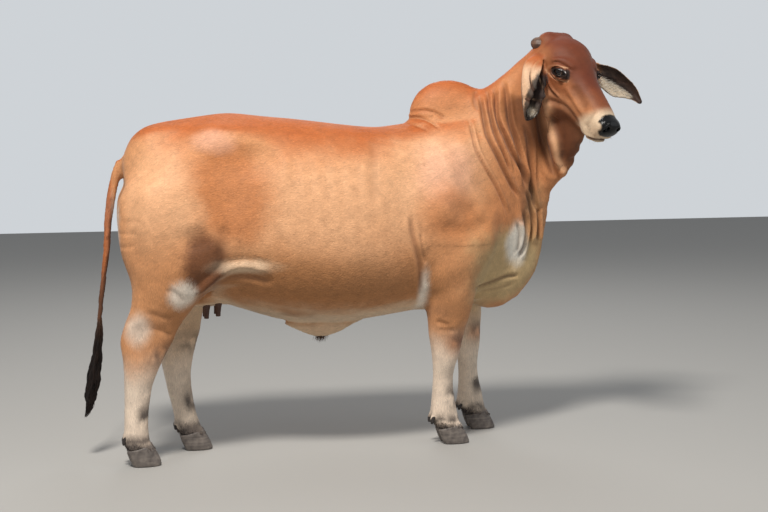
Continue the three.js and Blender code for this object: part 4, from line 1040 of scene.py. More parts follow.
# Which way the hair lies at each point, and how far its grain runs along x, along z or down the face
def lieOf(co, normals):
    (x, _, z), h = (co - shift).T, toHead(co)
    body = np.array([-1.0, 0, -0.30])
    neck = smooth((x - 0.68) / 0.22) * smooth((z - 0.70) / 0.2)
    leg = smooth((0.92 - z) / 0.24)
    leg = leg * np.maximum(smooth((x - 0.40) / 0.1), smooth((-0.36 - x) / 0.12))
    leg = np.maximum(leg, smooth((-0.70 - x) / 0.04))
    rump = smooth((-0.45 - x) / 0.2) * 0.6
    head = smooth((0.37 - headReach(co)) / 0.09) * smooth((h[:, 0] + 0.08) / 0.1)
    way = body + neck[:, None] * (np.array([-0.45, 0, -0.9]) - body)
    way = way + rump[:, None] * (np.array([-0.5, 0, -0.85]) - way)
    way = way + leg[:, None] * (np.array([-0.08, 0, -1.0]) - way)
    low = smooth((-h[:, 1] - 0.07) / 0.05)
    face = headAxis + low[:, None] * (0.55 * headAxis - 0.8 * headUp - headAxis)
    way = way + head[:, None] * (face - way)
    down = np.maximum(neck, leg)
    grain = np.stack([(1 - down) * (1 - head), down * (1 - head), head], 1)
    for side in (1, -1):
        on, place = earPlace(co, side)[:2]
        along = ears[side]["along"][np.clip((place * (len(ears[side]["t"]) - 1)).astype(int), 0, None), 20]
        weight = smooth((place - 0.14) / 0.1) * on
        way = way + weight[:, None] * (along - way)
    way = way + 0.16 * np.stack([wobble(co, 0.09, s) for s in (11, 12, 13)], 1)
    return unit(way - (way * normals).sum(1)[:, None] * normals), grain


def setAttribute(o, name, values):
    values = np.asarray(values, np.float32)
    if values.ndim == 1:
        o.data.attributes.new(name, "FLOAT", "POINT").data.foreach_set("value", values)
    else:
        rgba = np.column_stack([values, np.ones(len(values), np.float32)])
        o.data.attributes.new(name, "FLOAT_COLOR", "POINT").data.foreach_set("color", rgba.ravel())


hideCo, hideTris = meshArrays(hide)
hideNormals = vertexNormals(hideCo, hideTris)
hideTone, hideGloss, hideShade = markings(hideCo, hideNormals)
hideLie, hideGrain = lieOf(hideCo, hideNormals)
setAttribute(hide, "tone", hideTone)
setAttribute(hide, "gloss", hideGloss)
setAttribute(hide, "grain", hideGrain)
hideTree = BVHTree.FromPolygons(hideCo.tolist(), hideTris.tolist())
print("markings laid")


# The unwrap of the skin, which the coat's tufts share
def unwrap(o):
    inEditMode(o, (bpy.ops.mesh.select_all, {"action": "SELECT"}),
               (bpy.ops.uv.smart_project, {"angle_limit": math.radians(66), "island_margin": 0.002}))
    o.data.uv_layers[0].name = "OFBake"
    uv = np.empty(len(o.data.loops) * 2, np.float32)
    o.data.uv_layers["OFBake"].data.foreach_get("uv", uv)
    return uv.reshape(-1, 3, 2)


hideUv = unwrap(hide)
print("unwrapped")


# STRANDS: thin tapered tubes or flat blades, built all at once from paths of shape (count, steps, 3)

def strandArrays(paths, widths, flat=1.0, facing=(0.31, 0.93, 0.2)):
    count, steps, _ = paths.shape
    along = unit(np.gradient(paths, axis=1))
    side = unit(np.cross(along, facing))
    up = np.cross(side, along) * flat
    corners = [(-0.5, -0.3), (0.5, -0.3), (0.0, 0.55)]
    w = widths[..., None] if widths.ndim == 2 else widths[None, :, None]
    rings = np.stack([paths + w * (a * side + b * up) for a, b in corners], 2)
    body = rings[:, :-1].reshape(count, -1, 3)
    co = np.concatenate([body, paths[:, -1:]], 1)
    per = co.shape[1]
    last = (steps - 2) * 3
    tip = [[last + i, last + (i + 1) % 3, per - 1] for i in range(3)]
    faces = np.concatenate([[[0, 2, 1]], ringFaces(steps - 1, 3), tip])
    faces = faces[None, :, ::-1] + (np.arange(count) * per)[:, None, None]
    return co.reshape(-1, 3), faces.reshape(-1, 3)


# Strands as one piece, with a tone for each strand or for each of its points
def strandPiece(name, paths, widths, tones, flat=1.0):
    co, faces = strandArrays(paths, widths, flat)
    o = makeObject(name, co, faces)
    per = len(co) // len(paths)
    setAttribute(o, "tone", np.repeat(tones, per, axis=0) if len(tones) == len(paths) else tones)
    return o


# COAT. Sizes are a tuft's length and width in metres and the number of tufts on a square metre.

coatSizes = {
    "body": {"length": .0150, "width": .0034, "density": 23500, "lift": .0006},
    "neck": {"length": .0130, "width": .0032, "density": 18000, "lift": .0006},
    "leg": {"length": .0105, "width": .0027, "density": 19000, "lift": .0005},
    "head": {"length": .0065, "width": .0019, "density": 42000, "lift": .0003},
}
tuftLimit = 18900


def coatRegions(co):
    x, y, z = (co - shift).T
    head = headReach(co) < 0.33
    for side in (1, -1):
        head |= earPlace(co, side, earReach["shape"])[0] > 0
    leg = ~head & (z < 0.66)
    neck = ~head & ~leg & (x > 0.60)
    body = ~head & ~leg & ~neck
    ahead = x > 0
    regions = {"head": head, "neck": neck, "leg_front": leg & ahead, "leg_hind": leg & ~ahead}
    for side, there in (("right", y < 0), ("left", y >= 0)):
        regions["body_front_" + side] = body & there & (x > -0.02)
        regions["body_hind_" + side] = body & there & (x <= -0.02)
    return regions


# The nearest places on the skin, and which way is out there
def onHide(points):
    out, normals = np.empty_like(points), np.empty_like(points)
    for i, point in enumerate(points):
        place, normal, _, _ = hideTree.find_nearest(point)
        out[i], normals[i] = place, normal
    return out, normals


def doubleAreas(corners):
    return np.linalg.norm(np.cross(corners[:, 1] - corners[:, 0], corners[:, 2] - corners[:, 0]), axis=1)


# One region's coat: tufts spread evenly over its faces, each a flat blade that follows the skin. No
# tuft stands in a deep crease, on the bare nose or lids, or down on the claws.
def coatPiece(name, sizes, chosen):
    tris, uvs = hideTris[chosen], hideUv[chosen]
    corners = hideCo[tris]
    area = doubleAreas(corners) / 2
    middle = corners.mean(1)
    bare = (hideGloss[tris].max(1) > 0.25) | (hideShade[tris].max(1) > 0.30)
    for side in (1, -1):
        bare |= eyeReach(middle, side) < 0.026
    area = area * ~bare * (middle[:, 2] > 0.078)
    count = min(int(area.sum() * sizes["density"]), tuftLimit)
    at = (np.arange(count) + rng.uniform(0, 1, count)) / count * area.sum()
    k = np.minimum(np.searchsorted(np.cumsum(area), at), len(tris) - 1)
    r = rng.uniform(0, 1, (count, 2))
    r = np.where((r.sum(1) > 1)[:, None], 1 - r, r)
    weights = np.column_stack([1 - r.sum(1), r])[..., None]
    root, normal = (corners[k] * weights).sum(1), unit((hideNormals[tris[k]] * weights).sum(1))
    way, tone = unit((hideLie[tris[k]] * weights).sum(1)), (hideTone[tris[k]] * weights).sum(1)
    uv = (uvs[k] * weights).sum(1)
    turn = rng.normal(0, 0.20, count)[:, None]
    way = unit(way * np.cos(turn) + np.cross(normal, way) * np.sin(turn))
    length = sizes["length"] * rng.uniform(0.7, 1.3, count)
    length = length * (1 - 0.6 * np.clip(hideShade[tris[k]].max(1) / 0.3, 0, 1))
    lift = sizes["lift"] * rng.uniform(0.5, 1.4, count)
    middlePlace, middleNormal = onHide(root + way * (length * 0.5)[:, None] + normal * 0.0005)
    tipPlace, tipNormal = onHide(root + way * length[:, None] + normal * 0.0005)
    paths = np.stack([root - normal * 0.0006, middlePlace + middleNormal * (lift * 0.8)[:, None],
                      tipPlace + tipNormal * lift[:, None]], 1)
    facing = np.stack([normal, middleNormal, tipNormal], 1)
    widths = sizes["width"] * rng.uniform(0.7, 1.3, count)[:, None] * np.array([0.75, 1.0, 0.0])
    co, faces = strandArrays(paths, widths, 0.30, facing)
    o = makeObject(name, co, faces)
    tone = tone * (1 + 0.085 * rng.normal(0, 1, count) + 0.05 * wobble(root, 0.03, 21))[:, None]
    perVertex = np.array([0.86] * 3 + [1.0] * 3 + [1.10])
    setAttribute(o, "tone", (tone[:, None] * perVertex[None, :, None]).reshape(-1, 3).clip(0.002, 0.95))
    sideways = 0.30 * unit(np.cross(way, normal))[:, None]
    shading = facing[:, [0, 0, 0, 1, 1, 1, 2]] + sideways * np.array([-1, 1, 0, -1, 1, 0, 0])[None, :, None]
    o.data.normals_split_custom_set_from_vertices(unit(shading).reshape(-1, 3).tolist())
    offset = np.array([[-.5, 0], [.5, 0], [0, 0], [-.5, .5], [.5, .5], [0, .5], [0, 1]]) * 0.003
    pointUv = (uv[:, None] + offset[None]).reshape(-1, 2).clip(0, 1)
    layer = o.data.uv_layers.new(name="OFBake")
    loops = np.empty(len(o.data.loops), np.int32)
    o.data.loops.foreach_get("vertex_index", loops)
    layer.data.foreach_set("uv", pointUv[loops].astype(np.float32).ravel())
    print(name, count, "tufts", round(float(area.sum()), 2), "square metres")
    return o


coatPieces = {}
for region, chosen in coatRegions(hideCo[hideTris].mean(1)).items():
    coatPieces[region] = coatPiece("coat_" + region, coatSizes[region.split("_")[0]], chosen)


# TAIL SWITCH: the line it hangs along, its half width down that line, and its strands

switch = {"spine": [[-0.799, 0.590], [-0.803, 0.530], [-0.811, 0.460], [-0.822, 0.390], [-0.834, 0.320],
                    [-0.845, 0.262], [-0.850, 0.215], [-0.866, 0.170]],
          "spread": [0.006, 0.009, 0.015, 0.022, 0.026, 0.022, 0.012, 0.003],
          "strands": 1500, "steps": 16}


def switchPiece():
    line = spline(np.array([[x, 0.0, z] for x, z in switch["spine"]]) + shift, 10)
    spread = np.interp(np.linspace(0, 1, len(line)), np.linspace(0, 1, 8), switch["spread"])
    n, k = switch["strands"], switch["steps"]
    start = rng.uniform(0.0, 0.62, n) ** 1.2
    end = np.clip(start + rng.uniform(0.28, 0.55, n), 0, 1.0)
    t = start[:, None] + (end - start)[:, None] * np.linspace(0, 1, k)[None]
    centre = np.stack([np.interp(t, np.linspace(0, 1, len(line)), line[:, c]) for c in range(3)], 2)
    reach = np.interp(t, np.linspace(0, 1, len(line)), spread)
    lock = rng.integers(0, 46, n)
    angle = lock * 2.4 + rng.normal(0, 0.16, n)
    angle = angle[:, None] + (t - start[:, None]) * (lock % 7 - 3)[:, None] * 0.9
    how = np.sqrt((lock * 0.618) % 1 * 0.95 + 0.05)[:, None] * reach + rng.normal(0, 0.0011, n)[:, None]
    wave = 0.0042 * np.sin(t * (22 + lock % 5 * 4)[:, None] + (lock * 1.7)[:, None])
    wave = wave * smooth((t - start[:, None]) / 0.15)
    paths = centre.copy()
    paths[..., 0] += np.cos(angle) * how + wave
    paths[..., 1] += np.sin(angle) * how * 0.85 + wave * np.cos(lock * 2.0)[:, None]
    s = np.linspace(0, 1, k)
    taper = np.minimum(1, 0.55 + 2 * s) * (1 - s ** 3) + 0.05
    widths = rng.uniform(0.0018, 0.0034, n)[:, None] * taper[None]
    dark = smooth((0.62 - (paths[..., 2] - shift[2])) / 0.16)[..., None]
    dark = dark * rng.uniform(0.75, 1.0, n)[:, None, None]
    tones = linear("switch_brown") + dark * (linear("switch_black") - linear("switch_brown"))
    perPoint = np.concatenate([np.repeat(tones[:, :-1], 3, axis=1), tones[:, -1:]], 1).reshape(-1, 3)
    return strandPiece("switch_hair", paths, widths, perPoint, flat=0.8)


# FINE HAIRS: inside the ears, lashes, whiskers, the tuft under the navel flap and over the claws

hairCounts = {"ear": 1400, "lash": 58, "whisker": 34, "navel": 110, "coronet": 6400}


def curvedPaths(root, way, droop, length, steps=6):
    s = np.linspace(0, 1, steps)[None, :, None]
    length = length[:, None, None]
    return root[:, None] + way[:, None] * s * length + droop[:, None] * (s * s) * length


# Hairs of one colour, which thin out to their tips
def hairPiece(name, root, way, droop, lengths, thickness, taper, colour):
    n = len(root)
    paths = curvedPaths(root, way, droop, rng.uniform(*lengths, n))
    widths = rng.uniform(*thickness, n)[:, None] * np.array(taper)
    return strandPiece(name, paths, widths, np.tile(linear(colour), (n, 1)))


def earHairPiece(name, side):
    ear = ears[side]
    n = hairCounts["ear"]
    t = rng.beta(1.4, 1.6, n) * 0.66 + (0.10 if side > 0 else 0.22)
    v = np.clip(rng.normal(0.45, 0.42, n), -0.97, 0.97)
    i, j = (t * (ear["t"].shape[0] - 1)).astype(int), ((v + 1) / 2 * 40).astype(int)
    root, out, along = ear["sheet"][i, j], ear["out"][i, j], ear["along"][i, j]
    across = unit(np.cross(out, along))
    toMiddle = across * np.sign(((ear["sheet"][i, 20] - root) * across).sum(1))[:, None]
    sink, lean = rng.uniform(0.15, 0.5, n)[:, None], rng.uniform(-.1, .5, n)[:, None]
    way = unit(along * 0.9 - out * sink + toMiddle * lean)
    droop = -out * 0.05 + along * 0.2 + rng.normal(0, 0.12, (n, 3))
    length = rng.uniform(0.008, 0.018, n) * np.interp(t, [0.1, 0.5, 0.85], [1.0, 0.95, 0.5])
    paths = curvedPaths(root + out * 0.0005, way, droop, length)
    pale = smooth((v - 0.16) / 0.2) * smooth((0.80 - t) / 0.1)
    if side < 0:
        pale = (np.abs(t - 0.70) < 0.06) & (v > 0.25)
    pale = (rng.uniform(0, 1, n) < pale * 0.9)[:, None]
    tones = np.where(pale, linear("white") * 0.85, linear("dark") * 1.5)
    tones = tones * rng.uniform(0.8, 1.15, n)[:, None]
    widths = rng.uniform(0.0004, 0.0007, n)[:, None] * np.array([.8, 1, 1, .8, .5, .1])
    return strandPiece(name, paths, widths, tones)


def lashPiece(name, side):
    centre, out, forward, up = eyeFrame(side)
    n = hairCounts["lash"]
    angle = rng.uniform(0.35, 2.75, n)
    flat = lidCurve(angle) * rng.uniform(1.0, 1.08, n)[:, None]
    height = lidHeight(flat[:, 0], flat[:, 1]) - 0.0003
    root = centre + flat[:, :1] * forward + flat[:, 1:] * up + height[:, None] * out
    way = unit(out * 0.9 + up * 0.10 + forward * (flat[:, :1] * 22 + 0.25) + rng.normal(0, 0.06, (n, 3)))
    droop = -up * 0.55 + forward * 0.1 + np.zeros((n, 3))
    return hairPiece(name, root, way, droop, (0.007, 0.012), (0.0005, 0.0007),
                     [1, 1, .9, .7, .45, .1], "dark")


def whiskerPiece():
    n = hairCounts["whisker"]
    side = np.where(np.arange(n) % 2 == 0, 1.0, -1.0)
    a, u = rng.uniform(.425, .505, n), rng.uniform(-.145, -.065, n)
    root, normal = onHide(headPoint(a[:, None], u[:, None], (side * 0.06)[:, None]))
    way = unit(normal * 0.8 + headAxis * 0.5 + rng.normal(0, 0.15, (n, 3)))
    droop = np.tile([0, 0, -0.35], (n, 1)) + rng.normal(0, 0.1, (n, 3))
    return hairPiece("muzzle_whiskers", root - normal * 0.0006, way, droop, (0.010, 0.024),
                     (0.00030, 0.00045), [1.2, 1, .9, .7, .45, .1], "switch_brown")


def navelPiece():
    n = hairCounts["navel"]
    start = np.array([0.104, 0, 0.46]) + shift + rng.normal(0, 1, (n, 3)) * [0.012, 0.006, 0.004]
    root, normal = onHide(start)
    way = unit(np.array([-0.25, 0, -1]) + rng.normal(0, 0.16, (n, 3)))
    droop = np.array([-0.1, 0, -0.2]) + rng.normal(0, 0.12, (n, 3))
    return hairPiece("navel_tuft", root - normal * 0.001, way, droop, (0.010, 0.024),
                     (0.0009, 0.0014), [1, 1, .9, .7, .45, .1], "switch_brown")


# Longer dark hair that hangs over the top of the claws
def coronetPiece():
    corners = hideCo[hideTris]
    middle, normal = corners.mean(1), unit(hideNormals[hideTris].mean(1))
    area = doubleAreas(corners) * (middle[:, 2] < 0.096) * (normal[:, 2] > -0.55) * (middle[:, 2] > 0.060)
    n = hairCounts["coronet"]
    k = rng.choice(len(hideTris), n, p=area / area.sum())
    r = rng.dirichlet((1, 1, 1), n)
    root = (corners[k] * r[..., None]).sum(1)
    out = normal[k]
    way = unit(out * 0.28 + np.array([0.1, 0, -1.0]) + rng.normal(0, 0.13, (n, 3)))
    droop = out * -0.12 + rng.normal(0, 0.08, (n, 3))
    paths = curvedPaths(root - out * 0.0008, way, droop, rng.uniform(0.007, 0.014, n), 4)
    widths = rng.uniform(0.0007, 0.0012, n)[:, None] * np.array([.9, 1, .7, .1])
    beneath = (hideTone[hideTris[k]] * r[..., None]).sum(1)
    tones = np.where(rng.uniform(0, 1, n)[:, None] < 0.6, linear("smoke"), beneath)
    return strandPiece("coronet_hair", paths, widths, tones * rng.uniform(0.8, 1.2, n)[:, None])


# HOOVES, DEWCLAWS, TEATS, HORN BUDS, EYES

# How finely the buds and the claws are remeshed, how much they are smoothed and how much they grow
rounding = {"horn": {"voxel": .0022, "rounds": 14, "grow": .0052}, "claw": {"voxel": .0032, "rounds": 6}}


# One node of the part, rounded off
def smoothedNode(name, node, voxel, rounds, grow=0.0):
    o = remeshed(name, *grownNode(node, grow), voxel)
    co, _ = meshArrays(o)
    setPlaces(o, relax(co, edgesOf(o), np.full(len(co), float(rounds))))
    return o


# Each leg's heel above the hoof: where along x and y its pair of dewclaws sits
heels = {"foreleg_right": [.552, -.108], "foreleg_left": [.743, .136], "hindleg_right": [-.721, -.160],
         "hindleg_left": [-.505, .069]}


def dewclawPiece(leg):
    x, y = heels[leg]
    parts = []
    for flank in (1, -1):
        path = spline([[x + .022, y + .019 * flank, .129], [x + .006, y + .021 * flank, .121],
                       [x - .005, y + .022 * flank, .106], [x - .007, y + .022 * flank, .093],
                       [x - .005, y + .022 * flank, .088]], 4) + [.009, 0, 0]
        radii = np.interp(np.linspace(0, 1, len(path)), [0, .3, .6, .85, 1],
                          [.008, .0100, .0092, .0066, .0020])
        parts.append(tubeArrays(path + shift, radii, 20))
    return makeObject("dewclaws_" + leg, *joinArrays(parts))


def teatPiece():
    parts = []
    for x, y, z in teatTips:
        path = spline([[x, y, z + .062], [x, y, z + .040], [x - .001, y, z + .022], [x - .002, y, z + .008],
                       [x - .002, y, z + .001], [x - .002, y, z]], 4)
        radii = np.interp(np.linspace(0, 1, len(path)), [0, .25, .5, .75, .9, .97, 1],
                          [.0165, .0112, .0100, .0098, .0085, .0055, .0010])
        parts.append(tubeArrays(path, radii, 24))
    return makeObject("teats", *joinArrays(parts))


def eyePiece(name, side):
    centre, out, forward, up = eyeFrame(side)
    bpy.ops.mesh.primitive_uv_sphere_add(segments=80, ring_count=60, radius=eye["radius"])
    o = bpy.context.active_object
    o.name = name
    o.data.name = name
    o.data.transform(Matrix.Translation(Vector(centre)))
    o.select_set(False)
    smoothFaces(o.data)
    co, _ = meshArrays(o)
    look = unit(out + forward * 0.10 - up * 0.05)
    d = unit(co - centre)
    a, b = d @ unit(forward - look * (forward @ look)), d @ unit(up - look * (up @ look))
    reach = np.where(d @ look > 0, np.hypot(a, b), 2.0)
    tone = np.tile(linear("eye_white"), (len(co), 1))
    streak = 0.8 + 0.35 * np.sin(np.arctan2(b, a) * 37 + 3 * np.sin(np.arctan2(b, a) * 5)) ** 2
    iris = linear("iris")[None] * streak[:, None] * (0.7 + 0.9 * smooth(reach / 0.6))[:, None]
    tone = tone + smooth((0.70 - reach) / 0.06)[:, None] * (iris - tone)
    tone = lay(tone, "pupil", smooth((0.74 - reach) / 0.03) * smooth((reach - 0.62) / 0.05) * 0.8)
    pupil = np.sqrt((a / 0.40) ** 2 + (b / 0.24) ** 2)
    setAttribute(o, "tone", lay(tone, "pupil", smooth((1.08 - pupil) / 0.14)))
    return o


# A lid's rim is dark at its edge and takes the coat's colour where it meets the skin
def paintLid(o, side):
    co, _ = meshArrays(o)
    out = eyeFrame(side)[1]
    setAttribute(o, "tone", markings(co, np.tile(out, (len(co), 1)))[0])


pieces = {"switch_hair": switchPiece()}
for side, way in (("right", -1), ("left", 1)):
    pieces["eyeball_" + side] = eyePiece("eyeball_" + side, way)
    pieces["eyelids_" + side] = lidPiece("eyelids_" + side, way)
    paintLid(pieces["eyelids_" + side], way)
    pieces["eyelashes_" + side] = lashPiece("eyelashes_" + side, way)
    pieces["ear_hair_" + side] = earHairPiece("ear_hair_" + side, way)
    pieces["horn_" + side] = smoothedNode("horn_" + side, "horn_bud_" + side, **rounding["horn"])
pieces["muzzle_whiskers"] = whiskerPiece()
pieces["navel_tuft"] = navelPiece()
pieces["coronet_hair"] = coronetPiece()
pieces["teats"] = teatPiece()
for node in hoofNames:
    pieces[node + "_claw"] = smoothedNode(node + "_claw", node, **rounding["claw"])
for leg in legNames:
    pieces["dewclaws_" + leg] = dewclawPiece(leg)
print("separate pieces made")


# MATERIALS

def setInputs(node, values):
    for key, value in values.items():
        node.inputs[key].default_value = value


# A material's nodes, with a short call for each kind that is used
class Graph:
    def __init__(self, name):
        self.material = bpy.data.materials.new(name)
        self.material.use_nodes = True
        self.nodes = self.material.node_tree.nodes
        self.shader = self.nodes["Principled BSDF"]

    def add(self, kind, **settings):
        node = self.nodes.new(kind)
        for key, value in settings.items():
            setattr(node, key, value)
        return node

    def link(self, source, target):
        self.material.node_tree.links.new(source, target)

    def attribute(self, name):
        return self.add("ShaderNodeAttribute", attribute_name=name)

    # Noise on the object's own coordinates, with so many waves in a metre along each axis of a turned frame
    def noise(self, scale, detail=3.0, turn=(0, 0, 0), distortion=0.0):
        place = self.add("ShaderNodeTexCoord")
        mapping = self.add("ShaderNodeMapping", vector_type="TEXTURE")
        texture = self.add("ShaderNodeTexNoise")
        setInputs(mapping, {"Rotation": turn, "Scale": [1 / s for s in scale]})
        setInputs(texture, {"Scale": 1.0, "Detail": detail, "Distortion": distortion})
        self.link(place.outputs["Object"], mapping.inputs["Vector"])
        self.link(mapping.outputs["Vector"], texture.inputs["Vector"])
        return texture.outputs["Fac"]

    def math(self, operation, first, second):
        node = self.add("ShaderNodeMath", operation=operation)
        for slot, value in zip(node.inputs, (first, second)):
            if isinstance(value, (int, float)):
                slot.default_value = value
            else:
                self.link(value, slot)
        return node.outputs[0]

    def range(self, value, low, high, fromLow=0.3, fromHigh=0.7):
        node = self.add("ShaderNodeMapRange")
        setInputs(node, {"From Min": fromLow, "From Max": fromHigh, "To Min": low, "To Max": high})
        self.link(value, node.inputs["Value"])
        return node.outputs["Result"]

    # The colour, made lighter and darker by a factor
    def times(self, colour, factor):
        node = self.add("ShaderNodeVectorMath", operation="SCALE")
        self.link(colour, node.inputs[0])
        self.link(factor, node.inputs["Scale"])
        return node.outputs[0]

    def mix(self, factor, first, second):
        node = self.add("ShaderNodeMix", data_type="RGBA")
        self.link(factor, node.inputs["Factor"])
        for key, value in (("A", first), ("B", second)):
            slot = [s for s in node.inputs if s.name == key and s.type == "RGBA"][0]
            slot.default_value = (*value, 1)
        return [s for s in node.outputs if s.type == "RGBA"][0]

    def bump(self, height, strength, distance):
        node = self.add("ShaderNodeBump")
        setInputs(node, {"Strength": strength, "Distance": distance})
        self.link(height, node.inputs["Height"])
        self.link(node.outputs["Normal"], self.shader.inputs["Normal"])

    def finish(self, roughness, specular=0.5, sheen=0.0, coat=0.0):
        setInputs(self.shader, {"Roughness": roughness, "Specular IOR Level": specular,
                                "Sheen Weight": sheen, "Sheen Roughness": 0.4, "Coat Weight": coat})
        return self.material


# The skin under the tufts: its markings, a grain of short hair, and pores where it is bare
def hideMaterial():
    g = Graph("short_coat")
    tone, gloss, grain = g.attribute("tone"), g.attribute("gloss"), g.attribute("grain")
    turn = Vector((0, 0, 1)).rotation_difference(Vector(headAxis)).to_euler()
    joined = g.add("ShaderNodeCombineXYZ")
    for slot, value in zip(joined.inputs, (g.noise((40, 420, 420)), g.noise((420, 420, 40)),
                                           g.noise((700, 700, 90), turn=turn))):
        g.link(value, slot)
    dot = g.add("ShaderNodeVectorMath", operation="DOT_PRODUCT")
    g.link(joined.outputs[0], dot.inputs[0])
    g.link(grain.outputs["Vector"], dot.inputs[1])
    hair = dot.outputs["Value"]
    pores = g.noise((900, 900, 900), 2.0)
    g.link(g.times(tone.outputs["Color"], g.range(hair, 0.84, 1.14)), g.shader.inputs["Base Color"])
    bare = gloss.outputs["Fac"]
    height = g.math("ADD", g.math("MULTIPLY", hair, g.math("SUBTRACT", 1.0, bare)),
                    g.math("MULTIPLY", pores, g.math("MULTIPLY", bare, 0.6)))
    g.bump(height, 0.55, 0.0012)
    g.link(g.range(bare, 0.62, 0.24, 0, 1), g.shader.inputs["Roughness"])
    return g.finish(0.62, 0.35, 0.12)


def toneMaterial(name, roughness, specular, **layers):
    g = Graph(name)
    g.link(g.attribute("tone").outputs["Color"], g.shader.inputs["Base Color"])
    return g.finish(roughness, specular, **layers)


# Horn, with growth rings across its height and blotches
def keratinMaterial(name, light, dark, rings):
    g = Graph(name)
    bands = g.noise((6, 6, rings), 1.5, distortion=0.25)
    blotches = g.noise((45, 45, 45), 4.0)
    both = g.math("ADD", g.math("MULTIPLY", bands, 0.35), g.math("MULTIPLY", blotches, 0.65))
    g.link(g.mix(g.range(both, 0, 1), linear(light), linear(dark)), g.shader.inputs["Base Color"])
    g.bump(bands, 0.45, 0.0020)
    return g.finish(0.48, 0.4)


def skinMaterial(name, colour, roughness):
    g = Graph(name)
    grain = g.noise((420, 420, 420), 3.0)
    dark = [c * 0.6 for c in linear(colour)]
    g.link(g.mix(g.range(grain, 0, 1), linear(colour), dark), g.shader.inputs["Base Color"])
    g.bump(grain, 0.4, 0.0008)
    return g.finish(roughness, 0.4)


materials = {
    "hide": hideMaterial(),
    "coat": toneMaterial("coat_hair", 0.60, 0.4, sheen=0.10),
    "switch": toneMaterial("switch_hair", 0.42, 0.5),
    "fine": toneMaterial("fine_hair", 0.5, 0.4),
    "hoof": keratinMaterial("hoof_horn", "hoof", "hoof_dark", 150),
    "lids": toneMaterial("eye_rim", 0.34, 0.5),
    "horn": keratinMaterial("horn_grey", "horn", "horn_dark", 240),
    "eye": toneMaterial("eyeball", 0.09, 0.5, coat=0.3),
    "dewclaw": keratinMaterial("dewclaw_horn", "hoof_dark", "dark", 200),
    "teat": skinMaterial("teat_skin", "teat", 0.5),
}


# Each piece's material, and the nodes that it stands for, which are hidden; the piece hangs from the root
# body
def dress(piece, material, slot, *nodes):
    piece.data.materials.clear()
    piece.data.materials.append(materials[material])
    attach(piece, "root")
    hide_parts(*nodes)


dress(hide, "hide", "coat", *fleshNames, "ear_left", "ear_right")
coatNodes = {"head": ["head", "ear_left", "ear_right"], "neck": ["neck", "dewlap", "hump", "torso"],
             "leg_front": [n for n in fleshNames if "foreleg" in n],
             "leg_hind": [n for n in fleshNames if "hindleg" in n],
             "body_front": ["torso", "hump", "navel_flap"],
             "body_hind": ["torso", "udder", "tail_upper", "tail_lower"]}
coatSlots = {"head": "head_coat", "leg_front": "leg_coat", "leg_hind": "leg_coat"}
for region, piece in coatPieces.items():
    region = region.removesuffix("_right").removesuffix("_left")
    dress(piece, "coat", coatSlots.get(region, "coat"), *coatNodes[region])
dress(pieces["switch_hair"], "switch", "switch_hair", "tail_switch")
dress(pieces["muzzle_whiskers"], "fine", "head_coat", "head")
dress(pieces["navel_tuft"], "fine", "coat", "navel_flap")
dress(pieces["coronet_hair"], "fine", "leg_coat", *[leg + "_lower" for leg in legNames])
dress(pieces["teats"], "teat", "bare_skin", "udder")
for side in ("right", "left"):
    dress(pieces["eyeball_" + side], "eye", "eye", "eye_" + side)
    dress(pieces["eyelids_" + side], "lids", "bare_skin", "head")
    dress(pieces["eyelashes_" + side], "fine", "head_coat", "head")
    dress(pieces["ear_hair_" + side], "fine", "head_coat", "ear_" + side)
    dress(pieces["horn_" + side], "horn", "horn", "horn_bud_" + side)
for node in hoofNames:
    dress(pieces[node + "_claw"], "hoof", "hoof", node)
for leg in legNames:
    dress(pieces["dewclaws_" + leg], "dewclaw", "hoof", leg + "_lower")
print("dressed")


# CAMERA, LIGHT AND FLOOR. Angles are in degrees, and the focal length is a share of the sensor's width.

view = {"place": [-0.7877, -5.0636, 1.237], "yaw": 13.0, "pitch": 4.884, "roll": 0.5, "focal": 1230 / 768}
sensorWidth = 36
lightDistance = 7.0
lights = {
    "key_light": {"azimuth": -30, "elevation": 56, "size": 1.3, "power": 500, "colour": (1.0, 0.96, 0.90)},
    "fill_light": {"azimuth": 60, "elevation": 25, "size": 4.0, "power": 30, "colour": (0.9, 0.95, 1.0)},
    "rear_light": {"azimuth": 170, "elevation": 45, "size": 3.0, "power": 90, "colour": (1, 1, 1)},
}


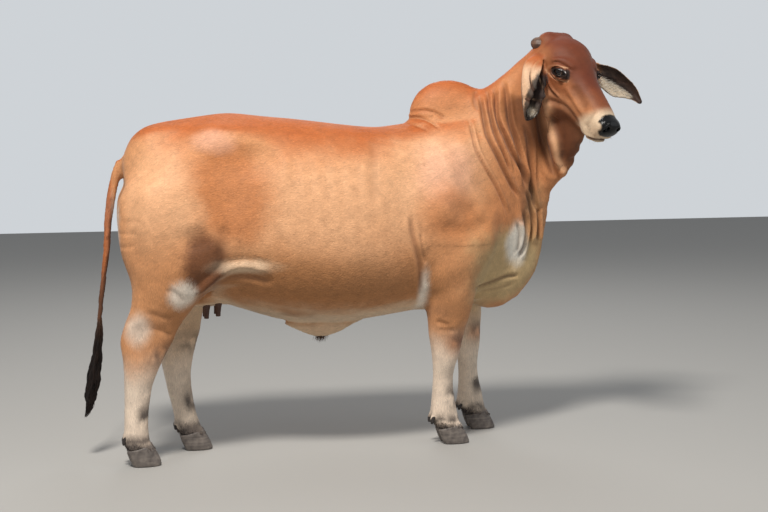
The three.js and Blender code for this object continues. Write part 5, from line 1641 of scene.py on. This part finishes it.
def addCamera():
    y, p, r = (math.radians(view[k]) for k in ("yaw", "pitch", "roll"))
    ahead = np.array([math.sin(y) * math.cos(p), math.cos(y) * math.cos(p), -math.sin(p)])
    right = np.array([math.cos(y), -math.sin(y), 0.0])
    up = np.cross(right, ahead)
    right, up = (math.cos(r) * right - math.sin(r) * up, math.cos(r) * up + math.sin(r) * right)
    data = bpy.data.cameras.new("camera")
    data.sensor_width = sensorWidth
    data.lens = sensorWidth * view["focal"]
    data.clip_end = 60
    o = bpy.data.objects.new("camera", data)
    bpy.context.scene.collection.objects.link(o)
    m = Matrix(np.column_stack([right, up, -ahead]).tolist()).to_4x4()
    m.translation = Vector(np.array(view["place"]) + shift)
    o.matrix_world = m
    bpy.context.scene.camera = o


# A light round the animal, turned to it. The azimuth counts from the side that the camera is on.
def areaLight(name, azimuth, elevation, size, power, colour):
    a, e = math.radians(azimuth), math.radians(elevation)
    place = Vector((math.sin(a) * math.cos(e), -math.cos(a) * math.cos(e), math.sin(e))) * lightDistance
    place += Vector((0.1, 0, 0.7))
    data = bpy.data.lights.new(name, "AREA")
    data.size = size
    data.energy = power
    data.color = colour
    o = bpy.data.objects.new(name, data)
    o.location = place
    o.rotation_euler = (place - Vector((0.1, 0, 0.8))).to_track_quat("Z", "Y").to_euler()
    bpy.context.scene.collection.objects.link(o)


def studio():
    world = bpy.data.worlds.new("studio")
    bpy.context.scene.world = world
    world.use_nodes = True
    nodes, links = world.node_tree.nodes, world.node_tree.links
    back, seen = nodes["Background"], nodes.new("ShaderNodeBackground")
    setInputs(back, {"Color": (0.86, 0.90, 0.95, 1), "Strength": 0.34})
    setInputs(seen, {"Color": (0.62, 0.65, 0.68, 1)})
    rays, mix = nodes.new("ShaderNodeLightPath"), nodes.new("ShaderNodeMixShader")
    links.new(rays.outputs["Is Camera Ray"], mix.inputs[0])
    links.new(back.outputs[0], mix.inputs[1])
    links.new(seen.outputs[0], mix.inputs[2])
    links.new(mix.outputs[0], nodes["World Output"].inputs["Surface"])
    for name, light in lights.items():
        areaLight(name, **light)
    bpy.ops.mesh.primitive_plane_add(size=30)
    floor = bpy.context.active_object
    floor.name = "floor"
    floor.select_set(False)
    paint = Graph("floor")
    setInputs(paint.shader, {"Base Color": (0.42, 0.41, 0.39, 1), "Roughness": 0.85})
    floor.data.materials.append(paint.material)


addCamera()
studio()
bpy.context.scene.view_settings.view_transform = "Standard"
print("camera and light set")
